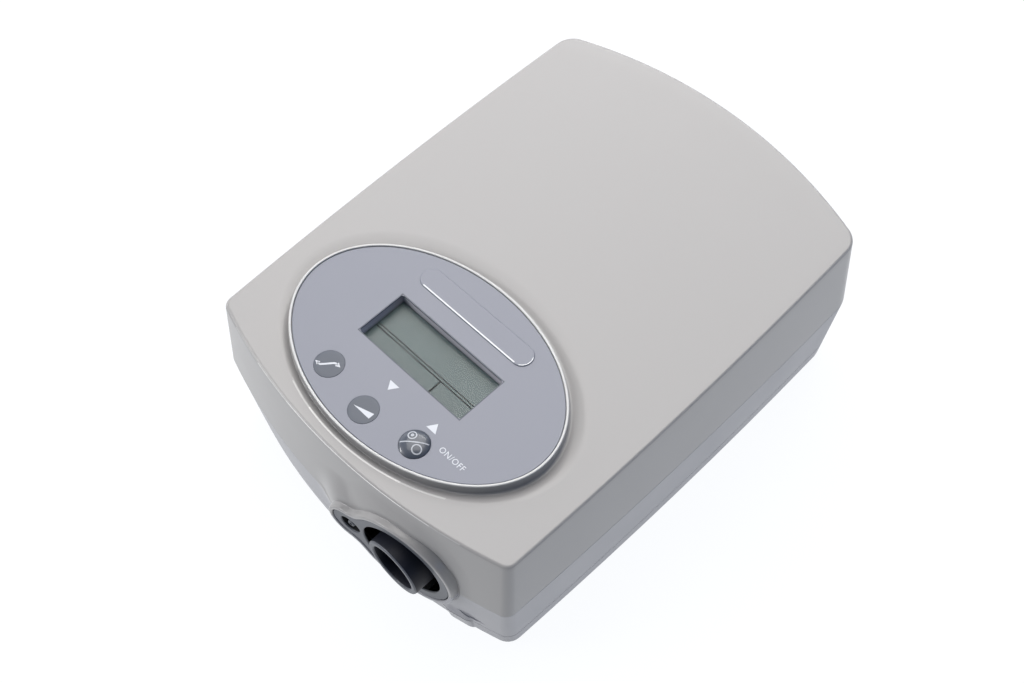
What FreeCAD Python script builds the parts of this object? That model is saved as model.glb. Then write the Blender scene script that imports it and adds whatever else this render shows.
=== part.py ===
# Bedside positive-airway-pressure flow generator: casing, control panel, outlet port,
# blower, intake, power supply and control electronics, each as its own solid.
# Millimetres. +X to the right of the display, +Y to the rear, +Z up.
# Origin: centre of the footprint, on the plane the rubber feet stand on.
import FreeCAD, Part
import math
import os
import re
import Sketcher
from FreeCAD import Placement, Rotation, Vector

doc = FreeCAD.newDocument("FlowGenerator")

# ------------------------------------------------------------------ driving sizes
sheet = doc.addObject("Spreadsheet::Sheet", "Dims")
DIMS = [
    # casing outline (corner to corner, before the sides bow out)
    ("top_half_width", 68.15), ("top_half_length", 82.63), ("plan_shift", 0.7),
    ("side_bow", 1.69), ("front_bow", 11.23), ("rear_bow", 12.5),
    ("side_draft", 0.0534), ("front_draft", 0.0968), ("rear_draft", 0.0984), ("lower_draft", 0.0677),
    ("edge_level", 67.9), ("top_slope", 0.024), ("top_crown", 1.5),
    ("parting_level", 34.4), ("parting_gap", 0.35), ("pan_level", 9.7), ("pan_gap", 0.5),
    ("foot_height", 2.0), ("wall", 2.4), ("top_edge_round", 1.8),
    ("corner_front_top", 4.0), ("corner_rear_top", 8.0), ("corner_front_mid", 4.5), ("corner_rear_mid", 10.0),
    ("corner_front_low", 6.0), ("corner_rear_low", 13.0),
    # control panel
    ("panel_x", -1.4), ("panel_y", -51.0), ("panel_a", 54.0), ("panel_b", 36.0), ("panel_top", 70.4),
    ("rim_width", 1.1), ("label_top", 70.0), ("label_thick", 0.4), ("panel_plate", 2.0), ("panel_seat", 63.0),
    ("moat_a", 60.0), ("moat_b", 40.4), ("moat_dy", 2.0), ("moat_depth", 2.1),
    ("window_x0", -25.3), ("window_x1", 22.3), ("window_y0", -58.6), ("window_y1", -39.4), ("glass_top", 67.05),
    ("key_r", 5.1), ("key_hole_r", 5.38), ("key_travel", 0.6),
    ("info_x", -22.3), ("info_y", -74.1), ("ramp_x", -1.8), ("ramp_y", -77.5), ("power_x", 18.8), ("power_y", -74.5),
    ("display_board_top", 59.6),
    # outlet port
    ("port_x", 31.5), ("port_y", -95.8), ("port_z", 35.9), ("port_yaw", 9.0),
    ("port_plate_r", 19.2), ("port_recess_r", 15.4), ("port_lobe_u", -21.3), ("port_lobe_r", 7.3), ("sense_r", 3.9),
    ("collar_r", 21.6), ("collar_lobe_r", 9.4), ("nozzle_r", 11.2), ("nozzle_bore", 8.7), ("nozzle_tip", -99.8), ("cup_back", -81.6),
    # blower
    ("fan_x", 3.5), ("fan_y", 12.0), ("scroll_bottom", 26.4), ("scroll_top", 45.4), ("scroll_wall", 1.8),
    ("scroll_start_r", 29.5), ("scroll_end_r", 37.5), ("impeller_r", 26.0), ("shaft_r", 2.0), ("motor_r", 17.0), ("eye_r", 8.8),
    # rear
    ("door_half_width", 24.6), ("door_low", 38.7), ("door_high", 60.2), ("door_face", 96.0), ("door_thick", 2.4),
    ("door_pin_y", 94.8), ("door_pin_z", 39.9), ("door_pin_r", 0.9), ("rear_panel_y", 95.5),
    ("inlet_x", 15.0), ("inlet_z", 21.5), ("data_x", -14.0), ("data_z", 21.5),
    # fixings
    ("case_screw_x", 61.0), ("case_screw_front", -74.0), ("case_screw_rear", 72.0), ("screw_r", 1.5),
]
for i, (alias, value) in enumerate(DIMS, 1):
    sheet.set("A%d" % i, alias)
    sheet.set("B%d" % i, "%g" % value)
    sheet.setAlias("B%d" % i, alias)
doc.recompute()
ALIASES = set(a for a, _ in DIMS)


def d(alias):
    """value of a cell"""
    return float(sheet.get(alias))


def value(e):
    """number behind a sum, difference, product or quotient of cell names and numbers"""
    if not isinstance(e, str):
        return float(e)
    total, term, op, sign = 0.0, None, None, 1.0
    for t in re.findall(r"[A-Za-z_][A-Za-z_0-9]*|[0-9.]+|[-+*/]", e):
        if t in ("+", "-"):
            if term is not None:
                total += sign * term
                term = None
            sign = 1.0 if t == "+" else -1.0
        elif t in ("*", "/"):
            op = t
        else:
            v = d(t) if t in ALIASES else float(t)
            if op == "*":
                term *= v
            elif op == "/":
                term /= v
            else:
                term = v
            op = None
    return total + sign * term


def ex(e):
    """expression text with cell names pointed at the sheet"""
    if not isinstance(e, str):
        return "%.6f" % float(e)
    return re.sub(r"[A-Za-z_][A-Za-z_0-9]*", lambda m: "Dims." + m.group(0) if m.group(0) in ALIASES else m.group(0), e)


NODES = {}


def node(name, obj):
    obj.Label = name
    NODES[name] = obj
    return obj


count = [0]


def uid(stem):
    count[0] += 1
    return "%s_%03d" % (stem, count[0])


def place(o, x=None, y=None, z=None):
    for axis, e in (("x", x), ("y", y), ("z", z)):
        if e is not None:
            o.setExpression(".Placement.Base." + axis, ex(e))
    return o


def box(x0, x1, y0, y1, z0, z1):
    o = doc.addObject("Part::Box", uid("Block"))
    for prop, a, b in (("Length", x0, x1), ("Width", y0, y1), ("Height", z0, z1)):
        o.setExpression(prop, "(%s) - (%s)" % (ex(b), ex(a)))
    return place(o, x0, y0, z0)


ROT = {"z": Rotation(), "x": Rotation(Vector(0, 1, 0), 90), "y": Rotation(Vector(1, 0, 0), -90)}


def cyl(r, a0, a1, p, q, axis="z"):
    """cylinder along an axis from a0 to a1; p, q are the other two coordinates in X, Y, Z order"""
    o = doc.addObject("Part::Cylinder", uid("Rod"))
    o.setExpression("Radius", ex(r))
    o.setExpression("Height", "(%s) - (%s)" % (ex(a1), ex(a0)))
    o.Placement = Placement(Vector(0, 0, 0), ROT[axis])
    if axis == "z":
        return place(o, p, q, a0)
    if axis == "y":
        return place(o, p, a0, q)
    return place(o, a0, p, q)


def oval(a, b, x, y, z0, z1):
    """upright elliptical prism"""
    e = doc.addObject("Part::Ellipse", uid("Oval"))
    e.setExpression("MajorRadius", ex(a))
    e.setExpression("MinorRadius", ex(b))
    place(e, x, y, z0)
    o = doc.addObject("Part::Extrusion", uid("OvalBody"))
    o.Base = e
    o.DirMode = "Custom"
    o.Dir = Vector(0, 0, 1)
    o.setExpression("LengthFwd", "(%s) - (%s)" % (ex(z1), ex(z0)))
    o.Solid = True
    return o


def fuse(*objs):
    o = doc.addObject("Part::MultiFuse", uid("Join"))
    o.Shapes = list(objs)
    return o


def cut(base, *tools):
    for tool in tools:
        o = doc.addObject("Part::Cut", uid("Trim"))
        o.Base = base
        o.Tool = tool
        base = o
    return base


def join(base, *others):
    for other in others:
        o = doc.addObject("Part::Fuse", uid("Merge"))
        o.Base = base
        o.Tool = other
        base = o
    return base


def common(*objs):
    o = doc.addObject("Part::MultiCommon", uid("Overlap"))
    o.Shapes = list(objs)
    return o


def group(*objs):
    o = doc.addObject("Part::Compound", uid("Set"))
    o.Links = list(objs)
    return o


def solid(shape, stem="Form"):
    """a shape that neither a primitive nor a sketch makes"""
    o = doc.addObject("Part::Feature", uid(stem))
    o.Shape = shape
    return o


def plane_of(body, role):
    return [f for f in body.Origin.OriginFeatures if f.Role == role][0]


def outline(body, pts, role):
    """closed polygon sketch; every corner is tied to the sketch origin"""
    sk = body.newObject("Sketcher::SketchObject", uid("Sketch"))
    sk.AttachmentSupport = [(plane_of(body, role), "")]
    sk.MapMode = "FlatFace"
    n = len(pts)
    num = [(value(p[0]), value(p[1])) for p in pts]
    for i in range(n):
        a, b = num[i], num[(i + 1) % n]
        sk.addGeometry(Part.LineSegment(Vector(a[0], a[1], 0), Vector(b[0], b[1], 0)), False)
    for i in range(n):
        sk.addConstraint(Sketcher.Constraint("Coincident", i, 2, (i + 1) % n, 1))
    for i in range(n):
        for k, kind in ((0, "DistanceX"), (1, "DistanceY")):
            c = sk.addConstraint(Sketcher.Constraint(kind, -1, 1, i, 1, num[i][k]))
            if isinstance(pts[i][k], str):
                sk.setExpression("Constraints[%d]" % c, ex(pts[i][k]))
    return sk


def turned(pts, x, y, z, axis="z"):
    """body of revolution: pts are (radius, height) pairs along the axis, placed at x, y, z"""
    body = doc.addObject("PartDesign::Body", uid("Body"))
    sk = outline(body, pts, "XZ_Plane")
    rev = body.newObject("PartDesign::Revolution", uid("Turn"))
    rev.Profile = sk
    rev.ReferenceAxis = (sk, ["V_Axis"])
    rev.Angle = 360.0
    body.Tip = rev
    # the profile's height runs along +Z; turn it to run along +Y or +X
    body.Placement = Placement(Vector(0, 0, 0), ROT[axis])
    return place(body, x, y, z)


def plate(pts, z0, thick, holes=()):
    """flat plate padded from a polygon, with round holes pocketed through it"""
    body = doc.addObject("PartDesign::Body", uid("Body"))
    sk = outline(body, pts, "XY_Plane")
    pad = body.newObject("PartDesign::Pad", uid("Pad"))
    pad.Profile = sk
    pad.setExpression("Length", ex(thick))
    body.Tip = pad
    if holes:
        hs = body.newObject("Sketcher::SketchObject", uid("Sketch"))
        hs.AttachmentSupport = [(plane_of(body, "XY_Plane"), "")]
        hs.MapMode = "FlatFace"
        for i, (hx, hy, hr) in enumerate(holes):
            hs.addGeometry(Part.Circle(Vector(hx, hy, 0), Vector(0, 0, 1), hr), False)
            hs.addConstraint(Sketcher.Constraint("Radius", i, hr))
            hs.addConstraint(Sketcher.Constraint("DistanceX", -1, 1, i, 3, hx))
            hs.addConstraint(Sketcher.Constraint("DistanceY", -1, 1, i, 3, hy))
        doc.recompute()
        before = pad.Shape.Volume
        pocket = body.newObject("PartDesign::Pocket", uid("Holes"))
        pocket.Profile = hs
        pocket.Type = "ThroughAll"
        pocket.Reversed = True
        body.Tip = pocket
        doc.recompute()
        if pocket.Shape.Volume > before - 1e-3:
            pocket.Reversed = False
            doc.recompute()
        if pocket.Shape.Volume > before - 1e-3:
            raise RuntimeError("plate holes cut nothing")
    return place(body, None, None, z0)


def rect(x0, x1, y0, y1):
    return [(x0, y0), (x1, y0), (x1, y1), (x0, y1)]


# ------------------------------------------------------------------ casing sections
def section(z, inset=0.0):
    """closed outline of the casing at a height: four bowed sides joined by corner arcs"""
    top, mid, low = d("edge_level"), d("parting_level"), d("foot_height")
    up = top - max(z, mid)
    down = max(mid - z, 0.0)
    ld = d("lower_draft")
    hw = d("top_half_width") + d("side_draft") * up - ld * down - inset
    hf = d("top_half_length") + d("front_draft") * up - ld * down - inset
    hr = d("top_half_length") + d("rear_draft") * up - ld * down - inset
    if z >= mid:
        t = min(1.0, (z - mid) / (top - mid))
        rf = d("corner_front_mid") + t * (d("corner_front_top") - d("corner_front_mid"))
        rr = d("corner_rear_mid") + t * (d("corner_rear_top") - d("corner_rear_mid"))
    else:
        t = (mid - z) / (mid - low)
        rf = d("corner_front_mid") + t * (d("corner_front_low") - d("corner_front_mid"))
        rr = d("corner_rear_mid") + t * (d("corner_rear_low") - d("corner_rear_mid"))
    rf, rr = max(rf - inset, 1.5), max(rr - inset, 1.5)
    sy = d("plan_shift")
    corners = [(-hw, -hf), (hw, -hf), (hw, hr), (-hw, hr)]
    bows = [d("front_bow"), d("side_bow"), d("rear_bow"), d("side_bow")]
    out = [(0, -1), (1, 0), (0, 1), (-1, 0)]
    circles = []
    for i in range(4):
        a, b = corners[i], corners[(i + 1) % 4]
        half = math.hypot(b[0] - a[0], b[1] - a[1]) / 2.0
        s = bows[i]
        R = (half * half + s * s) / (2.0 * s)
        m = ((a[0] + b[0]) / 2.0, (a[1] + b[1]) / 2.0)
        circles.append((m[0] - out[i][0] * (R - s), m[1] - out[i][1] * (R - s), R))
    radii = [rf, rf, rr, rr]
    fillets = []
    for i in range(4):
        c1, c2, r = circles[i - 1], circles[i], radii[i]
        # centre of the corner arc: inside both side circles by its own radius
        R1, R2 = c1[2] - r, c2[2] - r
        dx, dy = c2[0] - c1[0], c2[1] - c1[1]
        D = math.hypot(dx, dy)
        a = (R1 * R1 - R2 * R2 + D * D) / (2 * D)
        h = math.sqrt(max(R1 * R1 - a * a, 0.0))
        mx, my = c1[0] + a * dx / D, c1[1] + a * dy / D
        best = None
        for sgn in (1, -1):
            px, py = mx - sgn * h * dy / D, my + sgn * h * dx / D
            e = math.hypot(px - corners[i][0], py - corners[i][1])
            if best is None or e < best[0]:
                best = (e, px, py)
        fillets.append((best[1], best[2], r))

    def touch(c, f):
        vx, vy = f[0] - c[0], f[1] - c[1]
        n = math.hypot(vx, vy)
        return (c[0] + vx / n * c[2], c[1] + vy / n * c[2])

    def P(p):
        return Vector(p[0], p[1] + sy, z)

    edges = []
    for i in range(4):
        f = fillets[i]
        p0, p1 = touch(circles[i - 1], f), touch(circles[i], f)
        mid_dir = ((p0[0] + p1[0]) / 2 - f[0], (p0[1] + p1[1]) / 2 - f[1])
        n = math.hypot(*mid_dir)
        pm = (f[0] + mid_dir[0] / n * f[2], f[1] + mid_dir[1] / n * f[2])
        edges.append(Part.Arc(P(p0), P(pm), P(p1)).toShape())
        q1 = touch(circles[i], fillets[(i + 1) % 4])
        c = circles[i]
        md = ((p1[0] + q1[0]) / 2 - c[0], (p1[1] + q1[1]) / 2 - c[1])
        n = math.hypot(*md)
        qm = (c[0] + md[0] / n * c[2], c[1] + md[1] / n * c[2])
        edges.append(Part.Arc(P(p1), P(qm), P(q1)).toShape())
    return Part.Wire(edges)


def hull_between(z0, z1, inset=0.0):
    return Part.makeLoft([section(z0, inset), section(z1, inset)], True, True)


def under_crown(drop=0.0):
    """everything below the crowned, rearward-rising top surface"""
    hw, c = 90.0, d("top_crown")
    R = (d("top_half_width") ** 2) / (2 * c)
    y0 = -130.0
    zc = d("edge_level") + c + d("top_slope") * (y0 - d("plan_shift")) - drop
    sag = R - math.sqrt(R * R - hw * hw)
    a, m, b = Vector(-hw, y0, zc - sag), Vector(0, y0, zc), Vector(hw, y0, zc - sag)
    w = Part.Wire([Part.Arc(a, m, b).toShape(), Part.makeLine(b, Vector(hw, y0, -20)),
                   Part.makeLine(Vector(hw, y0, -20), Vector(-hw, y0, -20)), Part.makeLine(Vector(-hw, y0, -20), a)])
    L = 260.0
    return Part.Face(w).extrude(Vector(0, L, L * d("top_slope")))


def ellipse_wire(a, b, x, y, z):
    if a >= b:
        e = Part.Ellipse(Vector(x, y, z), a, b)
    return Part.Wire([e.toShape()])


# keyhole-shaped outline of the outlet port in its own plane: u across, w up
PORT_ROT = Rotation(Vector(0, 0, 1), d("port_yaw"))
PORT_AT = Vector(d("port_x"), d("port_y"), d("port_z"))


def keyhole(big, small, n0, n1):
    """prism of a large disc, a small disc to its left and a web between; n runs out of the face"""
    u = d("port_lobe_u")
    f = Part.makeCylinder(big, n1 - n0, Vector(0, -n0, 0), Vector(0, -1, 0))
    g = Part.makeCylinder(small, n1 - n0, Vector(u, -n0, 0), Vector(0, -1, 0))
    web = Part.Face(Part.makePolygon([Vector(u, -n0, small), Vector(-big * 0.55, -n0, big * 0.62), Vector(0, -n0, 0),
                                      Vector(-big * 0.55, -n0, -big * 0.62), Vector(u, -n0, -small), Vector(u, -n0, small)])).extrude(Vector(0, -(n1 - n0), 0))
    s = f.fuse([g, web]).removeSplitter()
    s.Placement = Placement(PORT_AT, PORT_ROT)
    return s


def port_point(u, n, w):
    return PORT_AT + PORT_ROT.multVec(Vector(u, -n, w))


# ------------------------------------------------------------------ upper shell
zp, gap, wall = d("parting_level"), d("parting_gap"), d("wall")
skin = hull_between(zp + gap / 2, 80.0).common(under_crown())
rims = [e for e in skin.Edges if min(v.Z for v in e.Vertexes) > 60.0 and e.BoundBox.ZLength < 6.0]
skin = skin.makeFillet(d("top_edge_round"), rims)
hollow = hull_between(zp - 1.0, 80.0, wall).common(under_crown(wall))
collar = keyhole(d("collar_r"), d("collar_lobe_r"), -14.0, 0.4)
collar_top = collar.common(Part.makeBox(200, 100, 60, Vector(-100, -120, zp + gap / 2)))
collar_low = collar.common(Part.makeBox(200, 100, 60, Vector(-100, -120, zp - gap / 2 - 60)))
upper_skin = solid(skin.fuse(collar_top), "UpperEnvelope")
upper_hollow = solid(hollow, "UpperHollow")
mid_wall = solid(hull_between(zp + gap / 2, 80.0, 1.2).common(under_crown(1.2)), "MidWall")
seat = common(oval("panel_a + 7.2", "panel_b + 4.4", "panel_x", "panel_y", "panel_seat", 80), mid_wall)
rear_boss = common(box(-29.5, 29.5, 90.5, 103, "parting_level + 2.3", 63.5), mid_wall)
bosses = [cyl(4.0, "pan_level - 0.3", 65.3 if y == "case_screw_front" else 68.4, x, y)
          for x in ("-case_screw_x", "case_screw_x") for y in ("case_screw_front", "case_screw_rear")]
moat_z = d("label_top")
moat_cx, moat_cy = d("panel_x"), d("panel_y")
slope = d("top_slope")


def moat_ring():
    """tapering dish round the control panel, in step with the sloping top"""
    zc = d("edge_level") + d("top_crown") + slope * (moat_cy - d("plan_shift"))
    depth = d("moat_depth")
    w0 = ellipse_wire(d("panel_a") - 4.0, d("panel_b") - 4.0, moat_cx, moat_cy - 1.0, zc - depth - 1.2)
    w1 = ellipse_wire(d("moat_a"), d("moat_b"), moat_cx, moat_cy + d("moat_dy"), zc + 0.25)
    w2 = ellipse_wire(d("moat_a") + 4.0, d("moat_b") + 4.0, moat_cx, moat_cy + d("moat_dy"), zc + 6.0)
    s = Part.makeLoft([w0, w1, w2], True, True)
    s.rotate(Vector(moat_cx, moat_cy, zc), Vector(1, 0, 0), math.degrees(math.atan(slope)))
    return s


recess_cut = solid(keyhole(d("port_plate_r") + 0.15, d("port_lobe_r") + 0.15, -3.2, 6.0), "PortSeat")
cup_cut = cyl("port_recess_r + 2.0", -110, -70, "port_x", "port_z", "y")
lobe_cut = solid(Part.makeCylinder(5.6, 20, port_point(d("port_lobe_u"), 0, 0), PORT_ROT.multVec(Vector(0, 1, 0))), "LobeBore")
upper = cut(join(cut(upper_skin, upper_hollow), seat, rear_boss, *bosses),
            oval("panel_a - rim_width", "panel_b - rim_width", "panel_x", "panel_y", 55, 80), solid(moat_ring(), "Moat"),
            recess_cut, cup_cut, lobe_cut,
            box("-door_half_width - 0.4", "door_half_width + 0.4", "door_face - door_thick - 0.3", 110, "door_low - 0.3", "door_high + 0.4"),
            box(-21.5, 21.5, 80, 110, 42.6, 58.4),
            cyl("door_pin_r + 0.05", -26.6, 26.6, "door_pin_y", "door_pin_z", "x"),
            *[cyl(1.3, 5, 30, x, y) for x in ("-case_screw_x", "case_screw_x") for y in ("case_screw_front", "case_screw_rear")])
# raised rim that frames the control panel, standing in the dish
rim = cut(oval("panel_a", "panel_b", "panel_x", "panel_y", "panel_seat", "panel_top"),
          oval("panel_a - rim_width", "panel_b - rim_width", "panel_x", "panel_y", 55, 80))
node("upper_shell", join(upper, rim))

# ------------------------------------------------------------------ lower shell and base pan
pan_top, pan_gap, foot = d("pan_level"), d("pan_gap"), d("foot_height")


def bulge_outline(z, back):
    """low bulge at the front right of the base: a soft shoulder and a flat middle, moved back by so much"""
    pts = []
    for cx, cy, r, a0, a1 in ((40.8, -85.0, 6.0, 180, 262), (45.7, -86.8, 4.0, 250, 284), (51.4, -85.4, 4.0, 284, 360)):
        for k in range(7):
            a = math.radians(a0 + (a1 - a0) * k / 6.0)
            pts.append(Vector(cx + r * math.cos(a), cy + r * math.sin(a) + back, z))
    pts += [Vector(55.4, -80.0, z), Vector(34.8, -80.0, z)]
    return Part.makePolygon(pts + [pts[0]])


def bulge_wedge(z0, z1, back=0.0, start=0.0):
    return Part.makeLoft([bulge_outline(z0, start), bulge_outline(z1, back)], True, True)


low_skin = hull_between(pan_top + pan_gap, zp - gap / 2)
low_hollow = hull_between(pan_top - 2, zp + 3, wall)
tongue = hull_between(zp - 3.0, zp + 1.9, wall + 0.12).cut(hull_between(zp - 4.0, zp + 3.0, wall + 1.5))
web = hull_between(zp - 3.0, zp - 1.6, wall - 1.0).cut(hull_between(zp - 4.0, zp + 3.0, wall + 1.5))
foot_lip = hull_between(pan_top - 1.6, pan_top + 2.6, wall + 0.15).cut(hull_between(pan_top - 3.0, pan_top + 4.0, wall + 1.6))
low_web = hull_between(pan_top + 1.2, pan_top + 2.2, wall - 1.0).cut(hull_between(pan_top - 1, pan_top + 4.0, wall + 0.9))
for x in (-d("case_screw_x"), d("case_screw_x")):
    for y in (d("case_screw_front"), d("case_screw_rear")):
        relief = Part.makeCylinder(6.2, 12.0, Vector(x, y, 5.0))
        foot_lip, low_web = foot_lip.cut(relief), low_web.cut(relief)
low_mid = solid(hull_between(pan_top + pan_gap + 0.4, zp - gap / 2 - 0.4, 1.2), "LowerMidWall")
low_rear = common(box(-33, 33, 90.5, 103, 11.4, 33.4), low_mid)
# the base's bulge runs out up the wall
low_bulge = bulge_wedge(pan_top + pan_gap, 16.5, 2.2)
lower = cut(join(cut(solid(low_skin.fuse([collar_low, low_bulge]), "LowerEnvelope"), solid(low_hollow, "LowerHollow")),
                 low_rear, solid(web, "Web"), solid(tongue, "Tongue"), solid(low_web, "LowWeb"), solid(foot_lip, "FootLip")),
            recess_cut, cup_cut, lobe_cut,
            box(-30.5, 30.5, "rear_panel_y", 110, 13.0, 31.6),
            box("inlet_x - 11.0", "inlet_x + 11.0", 80, 110, "inlet_z - 6.1", "inlet_z + 6.1"),
            box("data_x - 7.0", "data_x + 7.0", 80, 110, "data_z - 5.0", "data_z + 5.0"))
# lugs that carry the data-port flap's pins
flap_lugs = cut(fuse(box(-28.2, -25.4, 92.5, 97.7, 13.2, 17.0), box(-2.6, 0.2, 92.5, 97.7, 13.2, 17.0)),
                cyl(0.75, -29.5, 1.5, 96.6, 15.3, "x"))
node("lower_shell", join(lower, flap_lugs))

pan_skin = hull_between(foot, pan_top)
low_edges = [e for e in pan_skin.Edges if e.BoundBox.ZMax < foot + 0.01]
pan_skin = pan_skin.makeFillet(1.5, low_edges)
pan_hollow = hull_between(foot + wall, pan_top + 2, wall)
FEET = [(-52.0, -68.0), (52.0, -68.0), (-52.0, 70.0), (52.0, 70.0)]
BOARD_POSTS = [(-50.0, -73.0), (50.0, -73.0), (-50.0, -37.0), (50.0, -37.0)]
POWER_POSTS = [(-18.0, 55.0), (53.0, 55.0), (-18.0, 83.0), (50.0, 80.0)]
BLOWER_POSTS = [(-26.0, -16.0), (-34.0, 34.0), (36.0, 42.0)]
knob = solid(bulge_wedge(foot, pan_top, 0.0, 1.2), "FootBulge")
pan = join(cut(join(solid(pan_skin, "PanEnvelope"), knob), solid(pan_hollow, "PanHollow")),
           *([cyl(5.6, foot + 1.0, pan_top - 0.6, x, y) for x in ("-case_screw_x", "case_screw_x") for y in ("case_screw_front", "case_screw_rear")]
             + [cyl(3.0, foot + 1.2, 8.0, x, y) for x, y in BOARD_POSTS + POWER_POSTS]
             + [cyl(4.0, foot + 1.2, 23.0, x, y) for x, y in BLOWER_POSTS]))
pan = cut(pan, *([cyl(7.05, foot - 1, foot + 1.0, x, y) for x, y in FEET]
                 + [cyl(1.65, foot - 1, 20, x, y) for x in ("-case_screw_x", "case_screw_x") for y in ("case_screw_front", "case_screw_rear")]
                 + [cyl(3.4, foot - 1, foot + 4.2, x, y) for x in ("-case_screw_x", "case_screw_x") for y in ("case_screw_front", "case_screw_rear")]
                 + [cyl(1.25, foot + 2.0, 9.0, x, y) for x, y in BOARD_POSTS + POWER_POSTS]
                 + [cyl(1.55, foot + 4.0, 25.0, x, y) for x, y in BLOWER_POSTS]
                 + [box(-34.0, 34.0, -24.0, 24.0, foot - 1, foot + 0.3)]))
node("base_pan", pan)

node("rubber_feet", group(*[turned([(0, 0), (5.6, 0), (6.6, 0.5), (7.0, 1.2), (7.0, 2.97), (0, 2.97)], x, y, 0.0) for x, y in FEET]))
# pan-head case screws: head in the counterbore, shank up into the long bosses
node("case_screws", group(*[turned([(0, 3.8), (1.1, 3.8), (1.1, 3.2), (2.6, 3.2), (2.9, 3.9), (2.9, 6.15), ("screw_r - 0.3", 6.15), ("screw_r - 0.3", 28.0), (0.4, 29.4), (0, 29.4)], x, y, 0.0)
                            for x in ("-case_screw_x", "case_screw_x") for y in ("case_screw_front", "case_screw_rear")]))

# ------------------------------------------------------------------ control panel
panel_solid = join(oval("panel_a - rim_width - 0.1", "panel_b - rim_width - 0.1", "panel_x", "panel_y", "panel_seat - 1.0", "label_top - label_thick"),
                   oval("panel_a + 3.2", "panel_b + 2.6", "panel_x", "panel_y", "panel_seat - 1.8", "panel_seat - 0.1"))
POSTS = [(-34.0, -36.0), (31.0, -36.0), (-34.0, -66.0), (31.0, -66.0)]
key_xy = [("info_x", "info_y"), ("ramp_x", "ramp_y"), ("power_x", "power_y")]
panel_body = cut(panel_solid,
                 oval("panel_a - 2.6", "panel_b - 2.6", "panel_x", "panel_y", 55, "label_top - label_thick - panel_plate"))
panel_body = join(panel_body, *[cyl(3.0, "display_board_top", "label_top - label_thick - 0.8", x, y) for x, y in POSTS])
panel_body = cut(panel_body,
                 box("window_x0 - 1.1", "window_x1 + 1.1", "window_y0 - 1.1", "window_y1 + 1.1", 60, 75),
                 *([cyl("key_hole_r", 55, 75, x, y) for x, y in key_xy] + [cyl(1.05, 55, 66.0, x, y) for x, y in POSTS]))
node("control_panel", panel_body)
node("panel_label", cut(oval("panel_a - rim_width - 0.08", "panel_b - rim_width - 0.08", "panel_x", "panel_y", "label_top - label_thick", "label_top"),
                        box("window_x0", "window_x1", "window_y0", "window_y1", 60, 75), *[cyl("key_hole_r", 55, 75, x, y) for x, y in key_xy]))
badge = fuse(box(-22.9, 19.7, -32.4, -24.2, "label_top", "label_top + 0.35"), cyl(4.1, "label_top", "label_top + 0.35", -22.9, -28.3), cyl(4.1, "label_top", "label_top + 0.35", 19.7, -28.3))
node("blank_badge", badge)


def key(x, y, dome):
    # retaining flange under the plate, cap in the label's hole, stem down to the switch
    if dome:
        pts = [(0, 61.1), (1.6, 61.1), (1.6, 65.6), (6.3, 65.6), (6.3, 67.3), ("key_r", 67.3), ("key_r", 70.15), ("key_r - 0.5", 70.5), ("key_r - 1.5", 70.85), ("key_r - 3.0", 71.1), (0, 71.2)]
    else:
        pts = [(0, 61.1), (1.6, 61.1), (1.6, 65.6), (6.3, 65.6), (6.3, 67.3), ("key_r", 67.3), ("key_r", 69.95), ("key_r - 0.2", 70.12), (0, 70.12)]
    return turned(pts, x, y, 0.0)


node("info_key", key("info_x", "info_y", False))
node("ramp_key", key("ramp_x", "ramp_y", False))
node("power_key", key("power_x", "power_y", True))
node("lcd_frame", cut(box("window_x0 - 1.0", "window_x1 + 1.0", "window_y0 - 1.0", "window_y1 + 1.0", "display_board_top", "label_top - label_thick"),
                      box("window_x0", "window_x1", "window_y0", "window_y1", "display_board_top + 1.0", 75)))
node("lcd_glass", box("window_x0 + 0.1", "window_x1 - 0.1", "window_y0 + 0.1", "window_y1 - 0.1", "display_board_top + 1.05", "glass_top - 1.05"))
node("lcd_window", box("window_x0 + 0.1", "window_x1 - 0.1", "window_y0 + 0.1", "window_y1 - 0.1", "glass_top - 1.0", "glass_top"))
node("display_board", plate(rect(-39.0, 36.0, -83.0, -27.0), 58.0, 1.6, [(x, y, 1.1) for x, y in POSTS]))
node("display_screws", group(*[turned([(0, 56.2), (2.1, 56.2), (2.1, 57.95), (0.95, 57.95), (0.95, 64.5), (0, 65.2)], x, y, 0.0) for x, y in POSTS]))
node("switch_domes", group(*[turned([(0, 59.62), (3.4, 59.62), (3.4, 59.9), (2.2, 60.1), (0, 60.18)], x, y, 0.0) for x, y in key_xy]))
node("ribbon_cable", join(box(-52.0, -39.2, -60.0, -44.0, 58.7, 59.0), box(-52.3, -52.0, -60.0, -44.0, 14.0, 59.0), box(-52.3, -46.2, -60.0, -44.0, 13.7, 14.0)))

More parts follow.
